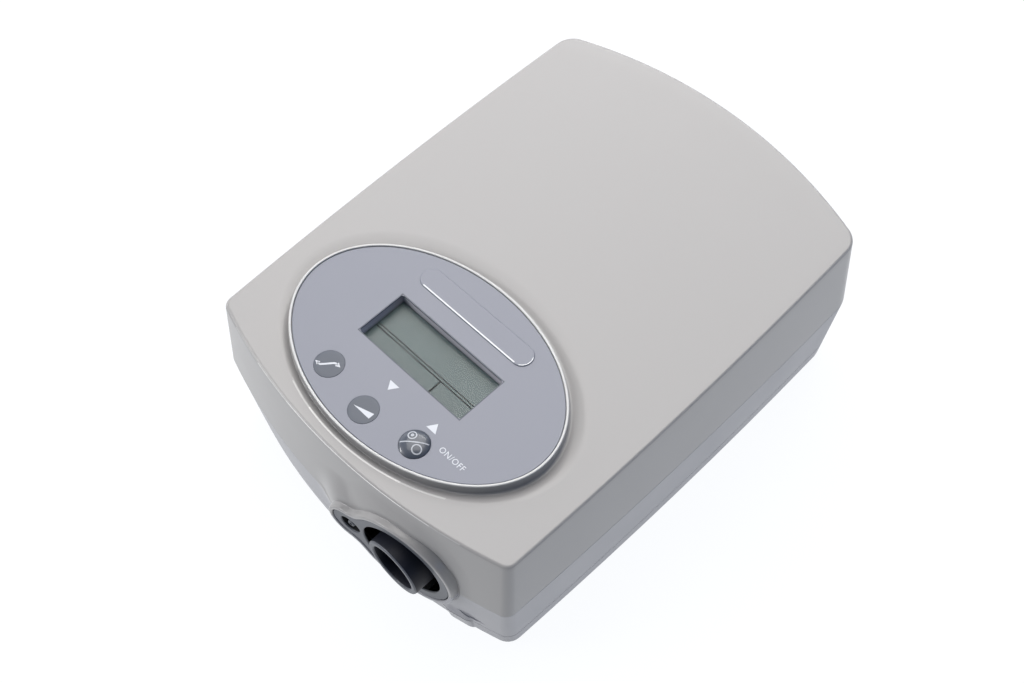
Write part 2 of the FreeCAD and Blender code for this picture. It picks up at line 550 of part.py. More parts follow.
# ------------------------------------------------------------------ outlet port
face_plate = keyhole(d("port_plate_r"), d("port_lobe_r"), -3.0, 0.0)
cup = Part.makeCylinder(d("port_recess_r") + 1.8, 20.0, Vector(d("port_x"), -100.0, d("port_z")), Vector(0, 1, 0))
behind = keyhole(d("port_plate_r") + 4, d("port_lobe_r") + 4, -40.0, -0.5)
cup = cup.common(behind)
sense_cup = Part.makeCylinder(d("sense_r") + 1.4, 12.0, port_point(d("port_lobe_u"), -0.4, 0), PORT_ROT.multVec(Vector(0, 1, 0)))
port_solid = face_plate.fuse([cup, sense_cup])
port_obj = cut(solid(port_solid, "PortPlate"),
               solid(Part.makeCylinder(d("port_recess_r"), 60.0, Vector(d("port_x"), -140.0, d("port_z")), Vector(0, 1, 0)).cut(
                   Part.makeBox(200, 100, 100, Vector(-100, d("cup_back"), 0))), "Recess"),
               cyl("nozzle_r + 0.12", -95, -60, "port_x", "port_z", "y"),
               solid(Part.makeCylinder(d("sense_r"), 12.0, port_point(d("port_lobe_u"), 2.0, 0), PORT_ROT.multVec(Vector(0, 1, 0))), "SenseBore"),
               solid(Part.makeCylinder(1.62, 30.0, port_point(d("port_lobe_u"), 2.0, 0), PORT_ROT.multVec(Vector(0, 1, 0))), "SensePass"))
node("port_bezel", port_obj)
node("outlet_nozzle", turned([("nozzle_bore", "nozzle_tip + 0.5"), ("nozzle_bore + 0.5", "nozzle_tip"), ("nozzle_r - 0.7", "nozzle_tip"), ("nozzle_r", "nozzle_tip + 0.7"),
                              ("nozzle_r", "cup_back - 0.3"), ("nozzle_r - 0.25", "cup_back - 0.3"), ("nozzle_r - 0.25", -78.2), (14.0, -78.2), (14.0, -76.4), (10.4, -76.4), (10.4, -66.5), (9.9, -66.0), ("nozzle_bore", -66.0)],
                             "port_x", 0.0, "port_z", "y"))
sense_body = turned([(0.7, 0.4), (1.2, 0.4), (1.5, 0.8), (1.5, 9.7), (1.3, 9.7), (1.3, 12.7), (2.6, 12.7), (2.6, 14.0), (1.6, 14.0), (1.6, 18.0), (0.7, 18.0)], 0.0, 0.0, 0.0, "y")
doc.recompute()
sb = sense_body.Shape.copy()
sb.Placement = Placement(port_point(d("port_lobe_u"), 0.0, 0.0), PORT_ROT).multiply(Placement(Vector(0, 0, 0), ROT["y"]))
node("sense_fitting", solid(sb, "SenseFitting"))
node("outlet_seal", turned([(11.3, -79.9), (13.4, -79.9), (13.8, -79.5), (13.8, -78.7), (13.4, -78.3), (11.3, -78.3)], "port_x", 0.0, "port_z", "y"))

# soft bellows from the nozzle's spigot to the scroll's outlet spigot
ridge, groove = 13.6, 12.0
profile = [(10.5, -75.2), (12.6, -75.2), (12.6, -68.0)]
y = -66.0
while y < -40.5:
    profile += [(groove, y), (ridge, y + 1.2), (ridge, y + 2.4), (groove, y + 3.6)]
    y += 4.8
profile += [(12.6, -37.6), (12.6, -30.0), (9.5, -30.0), (9.5, -37.8)]
back = []
yy = y - 4.8
while yy >= -66.1:
    back += [(groove - 1.4, yy + 3.8), (ridge - 1.4, yy + 2.3), (ridge - 1.4, yy + 1.3), (groove - 1.4, yy - 0.2)]
    yy -= 4.8
node("outlet_bellows", turned(profile + back, "port_x", 0.0, "port_z", "y"))

# ------------------------------------------------------------------ blower
fx, fy = d("fan_x"), d("fan_y")
split = (d("scroll_bottom") + d("scroll_top")) / 2.0


def scroll_face(z, inset, y_end):
    """spiral casing outline: radius grows clockwise from the tongue to the straight outlet"""
    r0, r1 = d("scroll_start_r") - inset, d("scroll_end_r") - inset
    x_left = 22.0 + inset
    a0 = math.acos((x_left - fx) / r0)
    steps = 12
    pts = []
    for k in range(steps + 1):
        t = k / steps
        ang = -a0 - t * (2 * math.pi - a0)
        r = r0 + (r1 - r0) * t
        pts.append(Vector(fx + r * math.cos(ang), fy + r * math.sin(ang), z))
    edges = [Part.makeLine(Vector(x_left, y_end, z), pts[0])]
    for k in range(0, steps, 2):
        edges.append(Part.Arc(pts[k], pts[k + 1], pts[k + 2]).toShape())
    edges.append(Part.makeLine(pts[-1], Vector(pts[-1].x, y_end, z)))
    edges.append(Part.makeLine(Vector(pts[-1].x, y_end, z), Vector(x_left, y_end, z)))
    return Part.Face(Part.Wire(edges))


zb, zt, sw = d("scroll_bottom"), d("scroll_top"), d("scroll_wall")
case = scroll_face(zb, 0.0, -28.0).extrude(Vector(0, 0, zt - zb))
spigot = Part.makeCylinder(9.3, 12.0, Vector(d("port_x"), -38.0, d("port_z")), Vector(0, 1, 0))
case = case.fuse(spigot)
void = scroll_face(zb + sw, sw, -29.0 + 2.0).extrude(Vector(0, 0, zt - zb - 2 * sw))
bore = Part.makeCylinder(7.5, 14.0, Vector(d("port_x"), -39.0, d("port_z")), Vector(0, 1, 0))
case = case.cut(void).cut(bore)
big = Part.makeBox(200, 200, 60, Vector(-100, -100, split + 0.05))
small = Part.makeBox(200, 200, 60, Vector(-100, -100, split - 0.05 - 60))
upper_half, lower_half = case.common(big), case.common(small)
eye_ring = Part.makeCylinder(d("eye_r") + 1.5, 3.4, Vector(fx, fy, zt - 0.2))
upper_half = upper_half.fuse(eye_ring).cut(Part.makeCylinder(d("eye_r"), 20.0, Vector(fx, fy, zt - 8)))
node("scroll_upper", solid(upper_half, "ScrollUpper"))
ears = [Part.makeCylinder(7.5, 2.0, Vector(x, y, 25.4)) for x, y in BLOWER_POSTS]
for (x, y) in BLOWER_POSTS:
    dx, dy = fx - x, fy - y
    L = math.hypot(dx, dy)
    arm = Part.makeBox(L - 24.0, 9.0, 2.0, Vector(0, -4.5, 0))
    arm.Placement = Placement(Vector(x, y, 25.4), Rotation(Vector(0, 0, 1), math.degrees(math.atan2(dy, dx))))
    ears.append(arm)
lower_half = lower_half.fuse(ears)
for x, y in BLOWER_POSTS:
    lower_half = lower_half.cut(Part.makeCylinder(3.6, 30.0, Vector(x, y, 20.0)))
lower_half = lower_half.cut(Part.makeCylinder(9.6, 10.0, Vector(fx, fy, zb - 4)))
node("scroll_lower", solid(lower_half, "ScrollLower"))
node("blower_mounts", group(*[turned([(2.1, 23.1), (5.4, 23.1), (5.4, 25.2), (3.5, 25.2), (3.5, 27.6), (5.4, 27.6), (5.4, 29.4), (2.1, 29.4)], x, y, 0.0) for x, y in BLOWER_POSTS]))
node("blower_screws", group(*[turned([(0, 14.0), (1.4, 15.0), (1.4, 29.6), (3.4, 29.6), (3.4, 31.2), (2.4, 31.9), (0, 31.9)], x, y, 0.0) for x, y in BLOWER_POSTS]))

# impeller: back plate, hub, backward-curved blades and shroud
imp = doc.addObject("PartDesign::Body", uid("Body"))
sk = outline(imp, [("shaft_r", 29.2), ("impeller_r", 29.2), ("impeller_r", 30.4), (8.0, 30.8), (6.0, 33.0), (4.6, 38.6), ("shaft_r", 38.6)], "XZ_Plane")
rev = imp.newObject("PartDesign::Revolution", uid("Turn"))
rev.Profile = sk
rev.ReferenceAxis = (sk, ["V_Axis"])
rev.Angle = 360.0
imp.Tip = rev
bs = imp.newObject("Sketcher::SketchObject", uid("Sketch"))
bs.AttachmentSupport = [(plane_of(imp, "XY_Plane"), "")]
bs.MapMode = "FlatFace"
bs.AttachmentOffset = Placement(Vector(0, 0, 30.0), Rotation())
A, B, C = Vector(11.0, 0.0, 0), Vector(18.6, 4.6, 0), Vector(24.0, 12.0, 0)
A2, B2, C2 = Vector(11.0, 1.1, 0), Vector(18.0, 5.5, 0), Vector(23.1, 12.7, 0)
bs.addGeometry(Part.Arc(A, B, C), False)
bs.addGeometry(Part.LineSegment(C, C2), False)
bs.addGeometry(Part.Arc(C2, B2, A2), False)
bs.addGeometry(Part.LineSegment(A2, A), False)
blade = imp.newObject("PartDesign::Pad", uid("Blade"))
blade.Profile = bs
blade.Length = 9.2
imp.Tip = blade
doc.recompute()
pat = imp.newObject("PartDesign::PolarPattern", uid("Blades"))
pat.Originals = [blade]
pat.Axis = (bs, ["N_Axis"])
pat.Angle = 360.0
pat.Occurrences = 11
imp.Tip = pat
doc.recompute()
place(imp, "fan_x", "fan_y", 0.0)
shroud = turned([(10.6, 40.2), ("impeller_r", 38.4), ("impeller_r", 39.2), (11.4, 41.3), (10.6, 41.3)], "fan_x", "fan_y", 0.0)
node("impeller", join(imp, shroud))
node("motor_shaft", turned([(0, 9.6), (1.5, 9.6), ("shaft_r - 0.03", 10.0), ("shaft_r - 0.03", 39.4), (1.4, 39.9), (0, 39.9)], "fan_x", "fan_y", 0.0))
node("rotor_magnet", turned([("shaft_r", 15.0), (8.6, 15.0), (8.6, 23.0), ("shaft_r", 23.0)], "fan_x", "fan_y", 0.0))
node("motor_can", cut(turned([(0, 7.2), (5.6, 7.2), (5.6, 8.4), ("motor_r", 8.4), ("motor_r", 26.3), (9.0, 26.3), (9.0, 27.9), (5.25, 27.9), (5.25, 24.6), ("motor_r - 1.2", 24.6), ("motor_r - 1.2", 9.6), (5.05, 9.6), (5.05, 8.0), (0, 8.0)], "fan_x", "fan_y", 0.0),
                      *[cyl(1.6, 20, 30, fx + 13.0 * math.cos(a), fy + 13.0 * math.sin(a)) for a in (0.4, 2.5, 4.6)]))
node("motor_stator", cut(turned([(9.1, 13.0), ("motor_r - 1.3", 13.0), ("motor_r - 1.3", 23.6), (9.1, 23.6)], "fan_x", "fan_y", 0.0),
                         *[cyl(1.3, 10, 25, fx + 11.6 * math.cos(k * math.pi / 3 + 0.3), fy + 11.6 * math.sin(k * math.pi / 3 + 0.3)) for k in range(6)]))
node("motor_bearings", group(turned([("shaft_r", 9.7), (5.0, 9.7), (5.0, 12.2), ("shaft_r", 12.2)], "fan_x", "fan_y", 0.0),
                             turned([("shaft_r", 25.0), (5.2, 25.0), (5.2, 27.6), ("shaft_r", 27.6)], "fan_x", "fan_y", 0.0)))

# ------------------------------------------------------------------ intake
ez = 57.6
path = Part.Wire([Part.makeLine(Vector(fx, 64.2, ez), Vector(fx, fy + 11.0, ez)),
                  Part.Arc(Vector(fx, fy + 11.0, ez), Vector(fx, fy + 11.0 - 11.0 * math.sin(math.pi / 4), ez - 11.0 + 11.0 * math.cos(math.pi / 4)), Vector(fx, fy, ez - 11.0)).toShape()])


def tube(radius):
    w = Part.Wire([Part.Circle(Vector(fx, 64.2, ez), Vector(0, -1, 0), radius).toShape()])
    return path.makePipeShell([w], True, False)


node("intake_elbow", solid(tube(8.5).cut(tube(7.1)), "IntakeElbow"))
node("silencer_box", cut(box(-27, 27, 62.0, 90.2, 36.2, 66.4), box(-25.4, 25.4, 63.6, 88.6, 37.8, 64.8), box(-20.5, 20.5, 80, 95, 43.0, 58.0), cyl(8.65, 55, 70, fx, ez, "y")))
node("silencer_foam", cut(box(-25.2, 25.2, 63.8, 84.0, 38.0, 64.6), cyl(9.0, 60, 90, fx, ez, "y"), box(-12, 12, 70, 90, 42.0, 57.0)))
node("air_filter", box(-21.2, 21.2, 90.4, 93.1, 42.8, 58.2))
louvres = [box(-19.0, 19.0, 90, 100, 43.4 + 3.0 * k, 44.9 + 3.0 * k) for k in range(5)]
door = join(box("-door_half_width", "door_half_width", "door_face - door_thick", "door_face", "door_pin_z", "door_high"),
            cyl("door_thick / 2", "-door_half_width", "door_half_width", "door_pin_y", "door_pin_z", "x"),
            cyl("door_pin_r", "-door_half_width - 1.5", "door_half_width + 1.5", "door_pin_y", "door_pin_z", "x"),
            box(-7.0, 7.0, "door_face - 0.4", "-nozzle_tip", "door_high - 2.4", "door_high - 1.0"))
node("filter_door", cut(door, *louvres))

# ------------------------------------------------------------------ power supply and mains inlet
node("power_board", plate([(-23.0, 50.5), (55.0, 50.5), (55.0, 80.0), (48.0, 85.5), (-23.0, 85.5)], 8.05, 1.6, [(x, y, 1.4) for x, y in POWER_POSTS]))
node("transformer", join(box(22, 45, 55, 75, 9.7, 12.2), box(25, 42, 58, 72, 12.2, 26.5), box(22, 45, 55, 75, 26.5, 29.0)))
node("supply_capacitors", group(*[turned([(0, 9.7), (r - 0.5, 9.7), (r, 10.4), (r, h - 0.8), (r - 0.6, h), (0, h)], x, y, 0.0) for x, y, r, h in ((8.0, 60.0, 7.0, 31.0), (-8.0, 58.0, 4.0, 22.0), (-17.0, 68.0, 4.0, 20.0), (51.5, 67.5, 4.0, 18.0))]))
node("heat_sink", join(box(16.0, 44.0, 51.6, 53.2, 9.7, 24.0), *[box(16.6 + 5.2 * k, 17.8 + 5.2 * k, 49.4, 52.0, 11.5, 24.0) for k in range(6)]))
node("mains_inlet", cut(join(box("inlet_x - 10.8", "inlet_x + 10.8", 80.5, "rear_panel_y + 0.6", "inlet_z - 5.9", "inlet_z + 5.9"),
                             box("inlet_x - 13.4", "inlet_x + 13.4", "rear_panel_y + 0.02", "rear_panel_y + 1.5", "inlet_z - 8.0", "inlet_z + 8.0")),
                        cyl(4.2, 83.5, 99, "inlet_x - 3.6", "inlet_z", "y"), cyl(4.2, 83.5, 99, "inlet_x + 3.6", "inlet_z", "y"),
                        box("inlet_x - 3.6", "inlet_x + 3.6", 83.5, 99, "inlet_z - 4.2", "inlet_z + 4.2"),
                        cyl(1.2, 70, 99, "inlet_x - 4.3", "inlet_z", "y"), cyl(1.2, 70, 99, "inlet_x + 4.3", "inlet_z", "y")))
node("inlet_pins", group(*[turned([(0, 74.5), (1.2, 74.5), (1.2, 94.0), (0.6, 94.8), (0, 94.8)], x, 0.0, "inlet_z", "y") for x in ("inlet_x - 4.3", "inlet_x + 4.3")]))
node("data_socket", cut(box("data_x - 6.8", "data_x + 6.8", 82.0, "rear_panel_y", "data_z - 4.8", "data_z + 4.8"), box("data_x - 5.6", "data_x + 5.6", 83.6, 99, "data_z - 3.4", "data_z + 3.4")))
flap = join(box("data_x - 10.8", "data_x + 10.8", 95.8, 97.4, 15.3, 28.6), cyl(0.8, "data_x - 10.8", "data_x + 10.8", 96.6, 15.3, "x"), cyl(0.7, "data_x - 13.4", "data_x + 13.4", 96.6, 15.3, "x"),
            box("data_x - 3.5", "data_x + 3.5", 97.3, 98.2, 27.2, 28.2))
node("data_flap", flap)

# ------------------------------------------------------------------ control electronics
node("main_board", plate(rect(-55.0, 55.0, -78.5, -31.0), 8.05, 1.6, [(x, y, 1.4) for x, y in BOARD_POSTS]))
node("board_chips", group(box(-14, 0, -58, -44, 9.7, 11.6), box(-34, -26, -52, -40, 9.7, 11.2), box(14, 22, -50, -44, 9.7, 11.2), box(30, 36, -68, -62, 9.7, 11.4), box(-30, -18, -72, -66, 9.7, 11.2)))
node("board_connectors", group(box(-46, -34, -60.5, -43.5, 9.7, 15.0), box(40, 50, -60, -48, 9.7, 17.0), box(24, 38, -38, -33, 9.7, 16.0)))
node("board_screws", group(*[turned([(0, 4.6), (1.1, 4.9), (1.1, 9.75), (2.6, 9.75), (2.6, 11.4), (0, 11.4)], x, y, 0.0) for x, y in BOARD_POSTS + POWER_POSTS]))
sx, sy2 = 4.0, -64.0
node("pressure_sensor", join(box(sx - 6, sx + 6, sy2 - 6, sy2 + 6, 9.7, 15.5), cyl(1.5, 15.5, 20.0, sx, sy2)))
f0 = port_point(d("port_lobe_u"), -14.2, 0.0)
fd = PORT_ROT.multVec(Vector(0, 1, 0))
# soft tube: straight back from the fitting, one bend across, one bend down on to the sensor
k = (sy2 - 9.0 - f0.y) / fd.y
mid_pt = f0 + fd * k
pA, pB = Vector(sx, sy2, f0.z), Vector(sx, sy2, 16.0)


def fillet_path(points, radii):
    edges, prev = [], points[0]
    for i in range(1, len(points) - 1):
        p, a, b = points[i], points[i - 1], points[i + 1]
        u, v = (a - p).normalize(), (b - p).normalize()
        half = math.acos(max(-1, min(1, u.dot(v)))) / 2
        t = radii[i - 1] / math.tan(half)
        s0, s1 = p + u * t, p + v * t
        bis = (u + v).normalize()
        c = p + bis * (radii[i - 1] / math.sin(half))
        m = c - bis * radii[i - 1]
        edges += [Part.makeLine(prev, s0), Part.Arc(s0, m, s1).toShape()]
        prev = s1
    edges.append(Part.makeLine(prev, points[-1]))
    return Part.Wire(edges)


def hose(points, radii, r_out, r_in=0.0):
    w = fillet_path(points, radii)
    dirn = (points[1] - points[0]).normalize()
    out = w.makePipeShell([Part.Wire([Part.Circle(points[0], dirn, r_out).toShape()])], True, False)
    if r_in > 0:
        out = out.cut(w.makePipeShell([Part.Wire([Part.Circle(points[0], dirn, r_in).toShape()])], True, False))
    return out


node("sense_tube", solid(hose([f0, mid_pt, pA, pB], [8.0, 7.0], 2.8, 1.75), "SenseTube"))
node("mains_leads", solid(Part.makeCompound([hose([Vector(d("inlet_x") + s * 4.3, 74.2, d("inlet_z")), Vector(d("inlet_x") + s * 4.3, 70.0 - 2 * s, d("inlet_z")), Vector(d("inlet_x") + s * 4.3 - 3.0, 68.0 - 2 * s, 10.2)], [3.0], 1.3) for s in (-1, 1)]), "MainsLeads"))
node("motor_lead", solid(hose([Vector(16.9, 0.9, 18.0), Vector(26.0, -8.0, 18.0), Vector(31.0, -24.0, 14.0), Vector(31.0, -32.6, 13.0)], [5.0, 8.0], 2.0), "MotorLead"))

# ------------------------------------------------------------------ check and write
doc.recompute()
bad = []
for o in doc.Objects:
    if any(flag in o.State for flag in ("Invalid", "Error")):
        bad.append("%s %s %s" % (o.Name, o.Label, o.State))
for name, o in NODES.items():
    if o.Shape.isNull() or not o.Shape.isValid() or len(o.Shape.Solids) < 1 or o.Shape.Volume <= 0:
        bad.append("%s shape" % name)
if bad:
    raise RuntimeError("failed objects: " + "; ".join(bad))
os.makedirs("parts", exist_ok=True)
for name, o in sorted(NODES.items()):
    shape = o.Shape
    b = shape.BoundBox
    print("%-18s solids %d  volume %9.1f  x %7.2f %7.2f  y %7.2f %7.2f  z %6.2f %6.2f" % (name, len(shape.Solids), shape.Volume, b.XMin, b.XMax, b.YMin, b.YMax, b.ZMin, b.ZMax))
    shape.exportStep("parts/" + name + ".step")
print(len(NODES), "nodes")
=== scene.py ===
import math

import bmesh
import bpy
import numpy as np
from mathutils import Matrix, Vector


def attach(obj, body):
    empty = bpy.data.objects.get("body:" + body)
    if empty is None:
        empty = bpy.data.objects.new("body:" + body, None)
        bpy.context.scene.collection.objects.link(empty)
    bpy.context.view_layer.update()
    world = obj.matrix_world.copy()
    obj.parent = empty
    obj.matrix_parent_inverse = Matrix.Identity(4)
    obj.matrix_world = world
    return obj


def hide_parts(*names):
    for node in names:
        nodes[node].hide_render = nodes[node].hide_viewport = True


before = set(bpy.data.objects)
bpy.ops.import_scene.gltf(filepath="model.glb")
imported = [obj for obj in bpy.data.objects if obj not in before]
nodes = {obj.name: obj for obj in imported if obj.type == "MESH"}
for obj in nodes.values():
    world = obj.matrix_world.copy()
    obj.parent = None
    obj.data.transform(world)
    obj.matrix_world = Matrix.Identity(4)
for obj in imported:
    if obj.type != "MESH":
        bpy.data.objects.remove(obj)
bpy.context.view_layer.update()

# Bedside positive airway pressure machine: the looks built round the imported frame.
# Sizes are written in millimetres and turned into metres when a mesh is made.
MM = 0.001


# ---------------------------------------------------------------- materials
def lin(r, g, b):
    """linear colour from 0-255 display values"""
    out = []
    for v in (r, g, b):
        v /= 255.0
        out.append(v / 12.92 if v <= 0.04045 else ((v + 0.055) / 1.055) ** 2.4)
    return out


def material(name, rgb, rough=0.45, spec=0.5, metallic=0.0, blotch=0.03, blotch_scale=45.0, rough_var=0.05,
             grain=0.0, grain_scale=2600.0, fleck=0.0, coat=0.0, alpha=1.0, sheen=0.0, stretch=None):
    """moulded or painted surface: broad colour drift, fine roughness change and a fine moulded grain"""
    m = bpy.data.materials.new(name)
    m.use_nodes = True
    nt = m.node_tree
    b = nt.nodes["Principled BSDF"]
    c = [0.74 * v for v in lin(*rgb)]
    coord = nt.nodes.new("ShaderNodeTexCoord")
    source = coord.outputs["Object"]
    if stretch:
        mp = nt.nodes.new("ShaderNodeMapping")
        mp.inputs["Scale"].default_value = stretch
        nt.links.new(source, mp.inputs["Vector"])
        source = mp.outputs["Vector"]
    big = nt.nodes.new("ShaderNodeTexNoise")
    big.inputs["Scale"].default_value = blotch_scale
    big.inputs["Detail"].default_value = 3.0
    nt.links.new(source, big.inputs["Vector"])
    fine = nt.nodes.new("ShaderNodeTexNoise")
    fine.inputs["Scale"].default_value = grain_scale
    fine.inputs["Detail"].default_value = 2.0
    nt.links.new(source, fine.inputs["Vector"])
    mix = nt.nodes.new("ShaderNodeMix")
    mix.data_type = "RGBA"
    mix.inputs["A"].default_value = [v * (1.0 - blotch) for v in c] + [1.0]
    mix.inputs["B"].default_value = [min(1.0, v * (1.0 + blotch)) for v in c] + [1.0]
    nt.links.new(big.outputs["Fac"], mix.inputs["Factor"])
    last = mix.outputs["Result"]
    if fleck:
        dark = nt.nodes.new("ShaderNodeMix")
        dark.data_type = "RGBA"
        dark.blend_type = "MULTIPLY"
        ramp = nt.nodes.new("ShaderNodeMapRange")
        ramp.inputs["From Min"].default_value = 0.35
        ramp.inputs["From Max"].default_value = 0.65
        nt.links.new(fine.outputs["Fac"], ramp.inputs["Value"])
        nt.links.new(ramp.outputs["Result"], dark.inputs["Factor"])
        nt.links.new(last, dark.inputs["A"])
        dark.inputs["B"].default_value = [1.0 - fleck] * 3 + [1.0]
        last = dark.outputs["Result"]
    nt.links.new(last, b.inputs["Base Color"])
    rr = nt.nodes.new("ShaderNodeMapRange")
    rr.inputs["To Min"].default_value = max(0.02, rough - rough_var)
    rr.inputs["To Max"].default_value = min(1.0, rough + rough_var)
    nt.links.new(big.outputs["Fac"], rr.inputs["Value"])
    nt.links.new(rr.outputs["Result"], b.inputs["Roughness"])
    b.inputs["Specular IOR Level"].default_value = spec
    b.inputs["Metallic"].default_value = metallic
    if coat:
        b.inputs["Coat Weight"].default_value = coat
        b.inputs["Coat Roughness"].default_value = 0.12
    if sheen:
        b.inputs["Sheen Weight"].default_value = sheen
    if alpha < 1.0:
        b.inputs["Alpha"].default_value = alpha
    if grain:
        bump = nt.nodes.new("ShaderNodeBump")
        bump.inputs["Strength"].default_value = 1.0
        bump.inputs["Distance"].default_value = grain * MM
        nt.links.new(fine.outputs["Fac"], bump.inputs["Height"])
        nt.links.new(bump.outputs["Normal"], b.inputs["Normal"])
    return m


M = {
    "shell": material("shell_upper_plastic", (170, 168, 168), 0.3, spec=0.32, grain=0.003, blotch=0.012, coat=0.15),
    "shell_low": material("shell_lower_plastic", (168, 168, 174), 0.34, spec=0.32, grain=0.004, blotch=0.012),
    # edge_1 to edge_3: lighter copies of the shell colour, painted highlights for the top-front edge and the dish's
    # front lip
    "edge_1": material("painted_edge_highlight", (255, 254, 252), 0.22, grain=0.001, blotch=0.01, coat=0.6),
    "edge_2": material("painted_edge_highlight_mid", (226, 225, 224), 0.24, grain=0.001, blotch=0.01, coat=0.4),
    "edge_3": material("painted_edge_highlight_soft", (196, 195, 195), 0.26, grain=0.001, blotch=0.01, coat=0.2),
    # the rim is shell plastic; this lighter copy of the shell colour is a painted highlight along its rounded top
    "rim": material("rim_painted_highlight", (203, 203, 203), 0.26, grain=0.001, blotch=0.012, coat=0.4),
    "film": material("panel_film", (131, 134, 147), 0.36, grain=0.003, grain_scale=3500, blotch=0.012),
    # painted highlight colour for the bright line along the name plate's lower edge
    "badge": material("name_plate_painted_highlight", (236, 238, 242), 0.4, grain=0.001, blotch=0.02),
    "ink": material("white_print", (218, 221, 229), 0.5, blotch=0.02),
    "ink_grey": material("grey_print", (188, 192, 200), 0.45, blotch=0.03),
    "key": material("key_plastic", (74, 81, 95), 0.38, grain=0.003, blotch=0.04),
    "dome": material("key_dome_plastic", (68, 74, 87), 0.4, grain=0.0006, blotch=0.04, coat=0.4),
    "lcd": material("lcd_cell", (88, 106, 108), 0.3, blotch=0.05, blotch_scale=30),
    "lcd_line": material("lcd_segments", (12, 16, 17), 0.6, spec=0.2, blotch=0.05),
    "window": material("display_window", (90, 100, 98), 0.06, spec=0.6, blotch=0.02, alpha=0.1),
    "black": material("black_plastic", (20, 21, 24), 0.5, grain=0.004, blotch=0.08),
    # painted light: far lighter than the frame's own grey so that the shaded walls of the display recess read lighter
    "frame": material("display_frame_painted_light", (206, 203, 212), 0.42, grain=0.003, blotch=0.03),
    "port": material("port_plate_plastic", (88, 92, 102), 0.42, grain=0.004, blotch=0.03),
    "nozzle": material("nozzle_plastic", (24, 27, 40), 0.5, spec=0.25, grain=0.002, blotch=0.05),
    "rubber": material("foot_rubber", (44, 45, 48), 0.75, grain=0.01, blotch=0.08, fleck=0.15),
    "silicone": material("silicone", (206, 208, 208), 0.35, blotch=0.04, grain=0.002, alpha=0.75),
    "steel": material("screw_steel", (170, 172, 176), 0.3, metallic=1.0, blotch=0.05, grain=0.002, stretch=(1, 1, 30)),
    "white": material("white_moulding", (226, 226, 222), 0.4, grain=0.004, blotch=0.03),
    "blower": material("blower_moulding", (214, 216, 214), 0.36, grain=0.003, blotch=0.03),
    "foam": material("acoustic_foam", (62, 64, 68), 0.95, grain=0.25, grain_scale=1100, blotch=0.12, fleck=0.6, sheen=0.3),
    "filter": material("filter_media", (212, 216, 216), 0.9, grain=0.12, grain_scale=1700, blotch=0.06, fleck=0.25, sheen=0.3),
    "board": material("circuit_board", (28, 92, 58), 0.34, blotch=0.12, blotch_scale=160, grain=0.012, grain_scale=900, fleck=0.3),
    "chip": material("chip_package", (30, 31, 33), 0.55, grain=0.004, blotch=0.1),
    "ferrite": material("core_and_tape", (196, 168, 70), 0.4, blotch=0.12, grain=0.01),
    "sleeve": material("capacitor_sleeve", (34, 46, 84), 0.32, blotch=0.08, grain=0.002),
    "alloy": material("heat_sink_alloy", (176, 178, 180), 0.36, metallic=1.0, blotch=0.06, grain=0.003, stretch=(20, 1, 1)),
    "magnet": material("magnet", (92, 92, 94), 0.3, metallic=1.0, blotch=0.1, grain=0.002),
    "winding": material("copper_winding", (186, 104, 62), 0.32, metallic=1.0, blotch=0.12, grain=0.05, grain_scale=1500, stretch=(1, 1, 6)),
    "brass": material("brass_pins", (202, 172, 104), 0.26, metallic=1.0, blotch=0.06, grain=0.001),
    "ribbon": material("ribbon_cable", (178, 180, 182), 0.5, blotch=0.1, grain=0.03, grain_scale=700, stretch=(1, 6, 1)),
}

# the carried-over inner pieces, each with its finish
CARRIED = {
    "black": ["data_socket", "mains_leads", "motor_lead", "silencer_box"],
    "port": ["sense_fitting"],
    "lcd": ["lcd_glass"],
    "window": ["lcd_window"],
    "steel": ["case_screws", "display_screws", "switch_domes", "blower_screws", "motor_shaft", "motor_can", "motor_bearings", "board_screws"],
    "board": ["display_board", "power_board", "main_board"],
    "ribbon": ["ribbon_cable"],
    "silicone": ["outlet_seal", "outlet_bellows", "sense_tube"],
    "blower": ["scroll_upper", "scroll_lower"],
    "white": ["impeller", "intake_elbow", "board_connectors"],
    "rubber": ["rubber_feet", "blower_mounts"],
    "magnet": ["rotor_magnet"],
    "winding": ["motor_stator"],
    "foam": ["silencer_foam"],
    "filter": ["air_filter"],
    "ferrite": ["transformer"],
    "sleeve": ["supply_capacitors"],
    "alloy": ["heat_sink"],
    "brass": ["inlet_pins"],
    "chip": ["board_chips", "pressure_sensor"],
    "shell_low": ["base_pan", "control_panel"],
    "frame": ["lcd_frame"],
}
for key, names in CARRIED.items():
    for n in names:
        o = nodes[n]
        o.data.materials.clear()
        o.data.materials.append(M[key])


# ---------------------------------------------------------------- mesh tools
def add(name, V, F, mats, body, node=None, sharp=38.0, mat_index=None):
    """object from millimetre points and faces; rides on a body and may stand for CAD nodes"""
    V = np.asarray(V, float)[:, :3]
    used = sorted({i for f in F for i in f})
    index = {v: k for k, v in enumerate(used)}
    me = bpy.data.meshes.new(name)
    me.from_pydata((V[used] * MM).tolist(), [], [tuple(index[i] for i in f) for f in F])
    me.validate()
    for m in mats if isinstance(mats, (list, tuple)) else [mats]:
        me.materials.append(m)
    if mat_index is not None:
        me.polygons.foreach_set("material_index", list(mat_index))
    me.polygons.foreach_set("use_smooth", [True] * len(me.polygons))
    me.set_sharp_from_angle(angle=math.radians(sharp))
    me.update()
    o = bpy.data.objects.new(name, me)
    bpy.context.scene.collection.objects.link(o)
    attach(o, body)
    if node:
        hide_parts(*([node] if isinstance(node, str) else node))
    return o


def merge(*parts):
    """several (V, F) lists as one"""
    Vs, Fs, n = [], [], 0
    for V, F in parts:
        V = np.asarray(V, float)[:, :3]
        Vs.append(V)
        Fs += [tuple(i + n for i in f) for f in F]
        n += len(V)
    return np.vstack(Vs), Fs


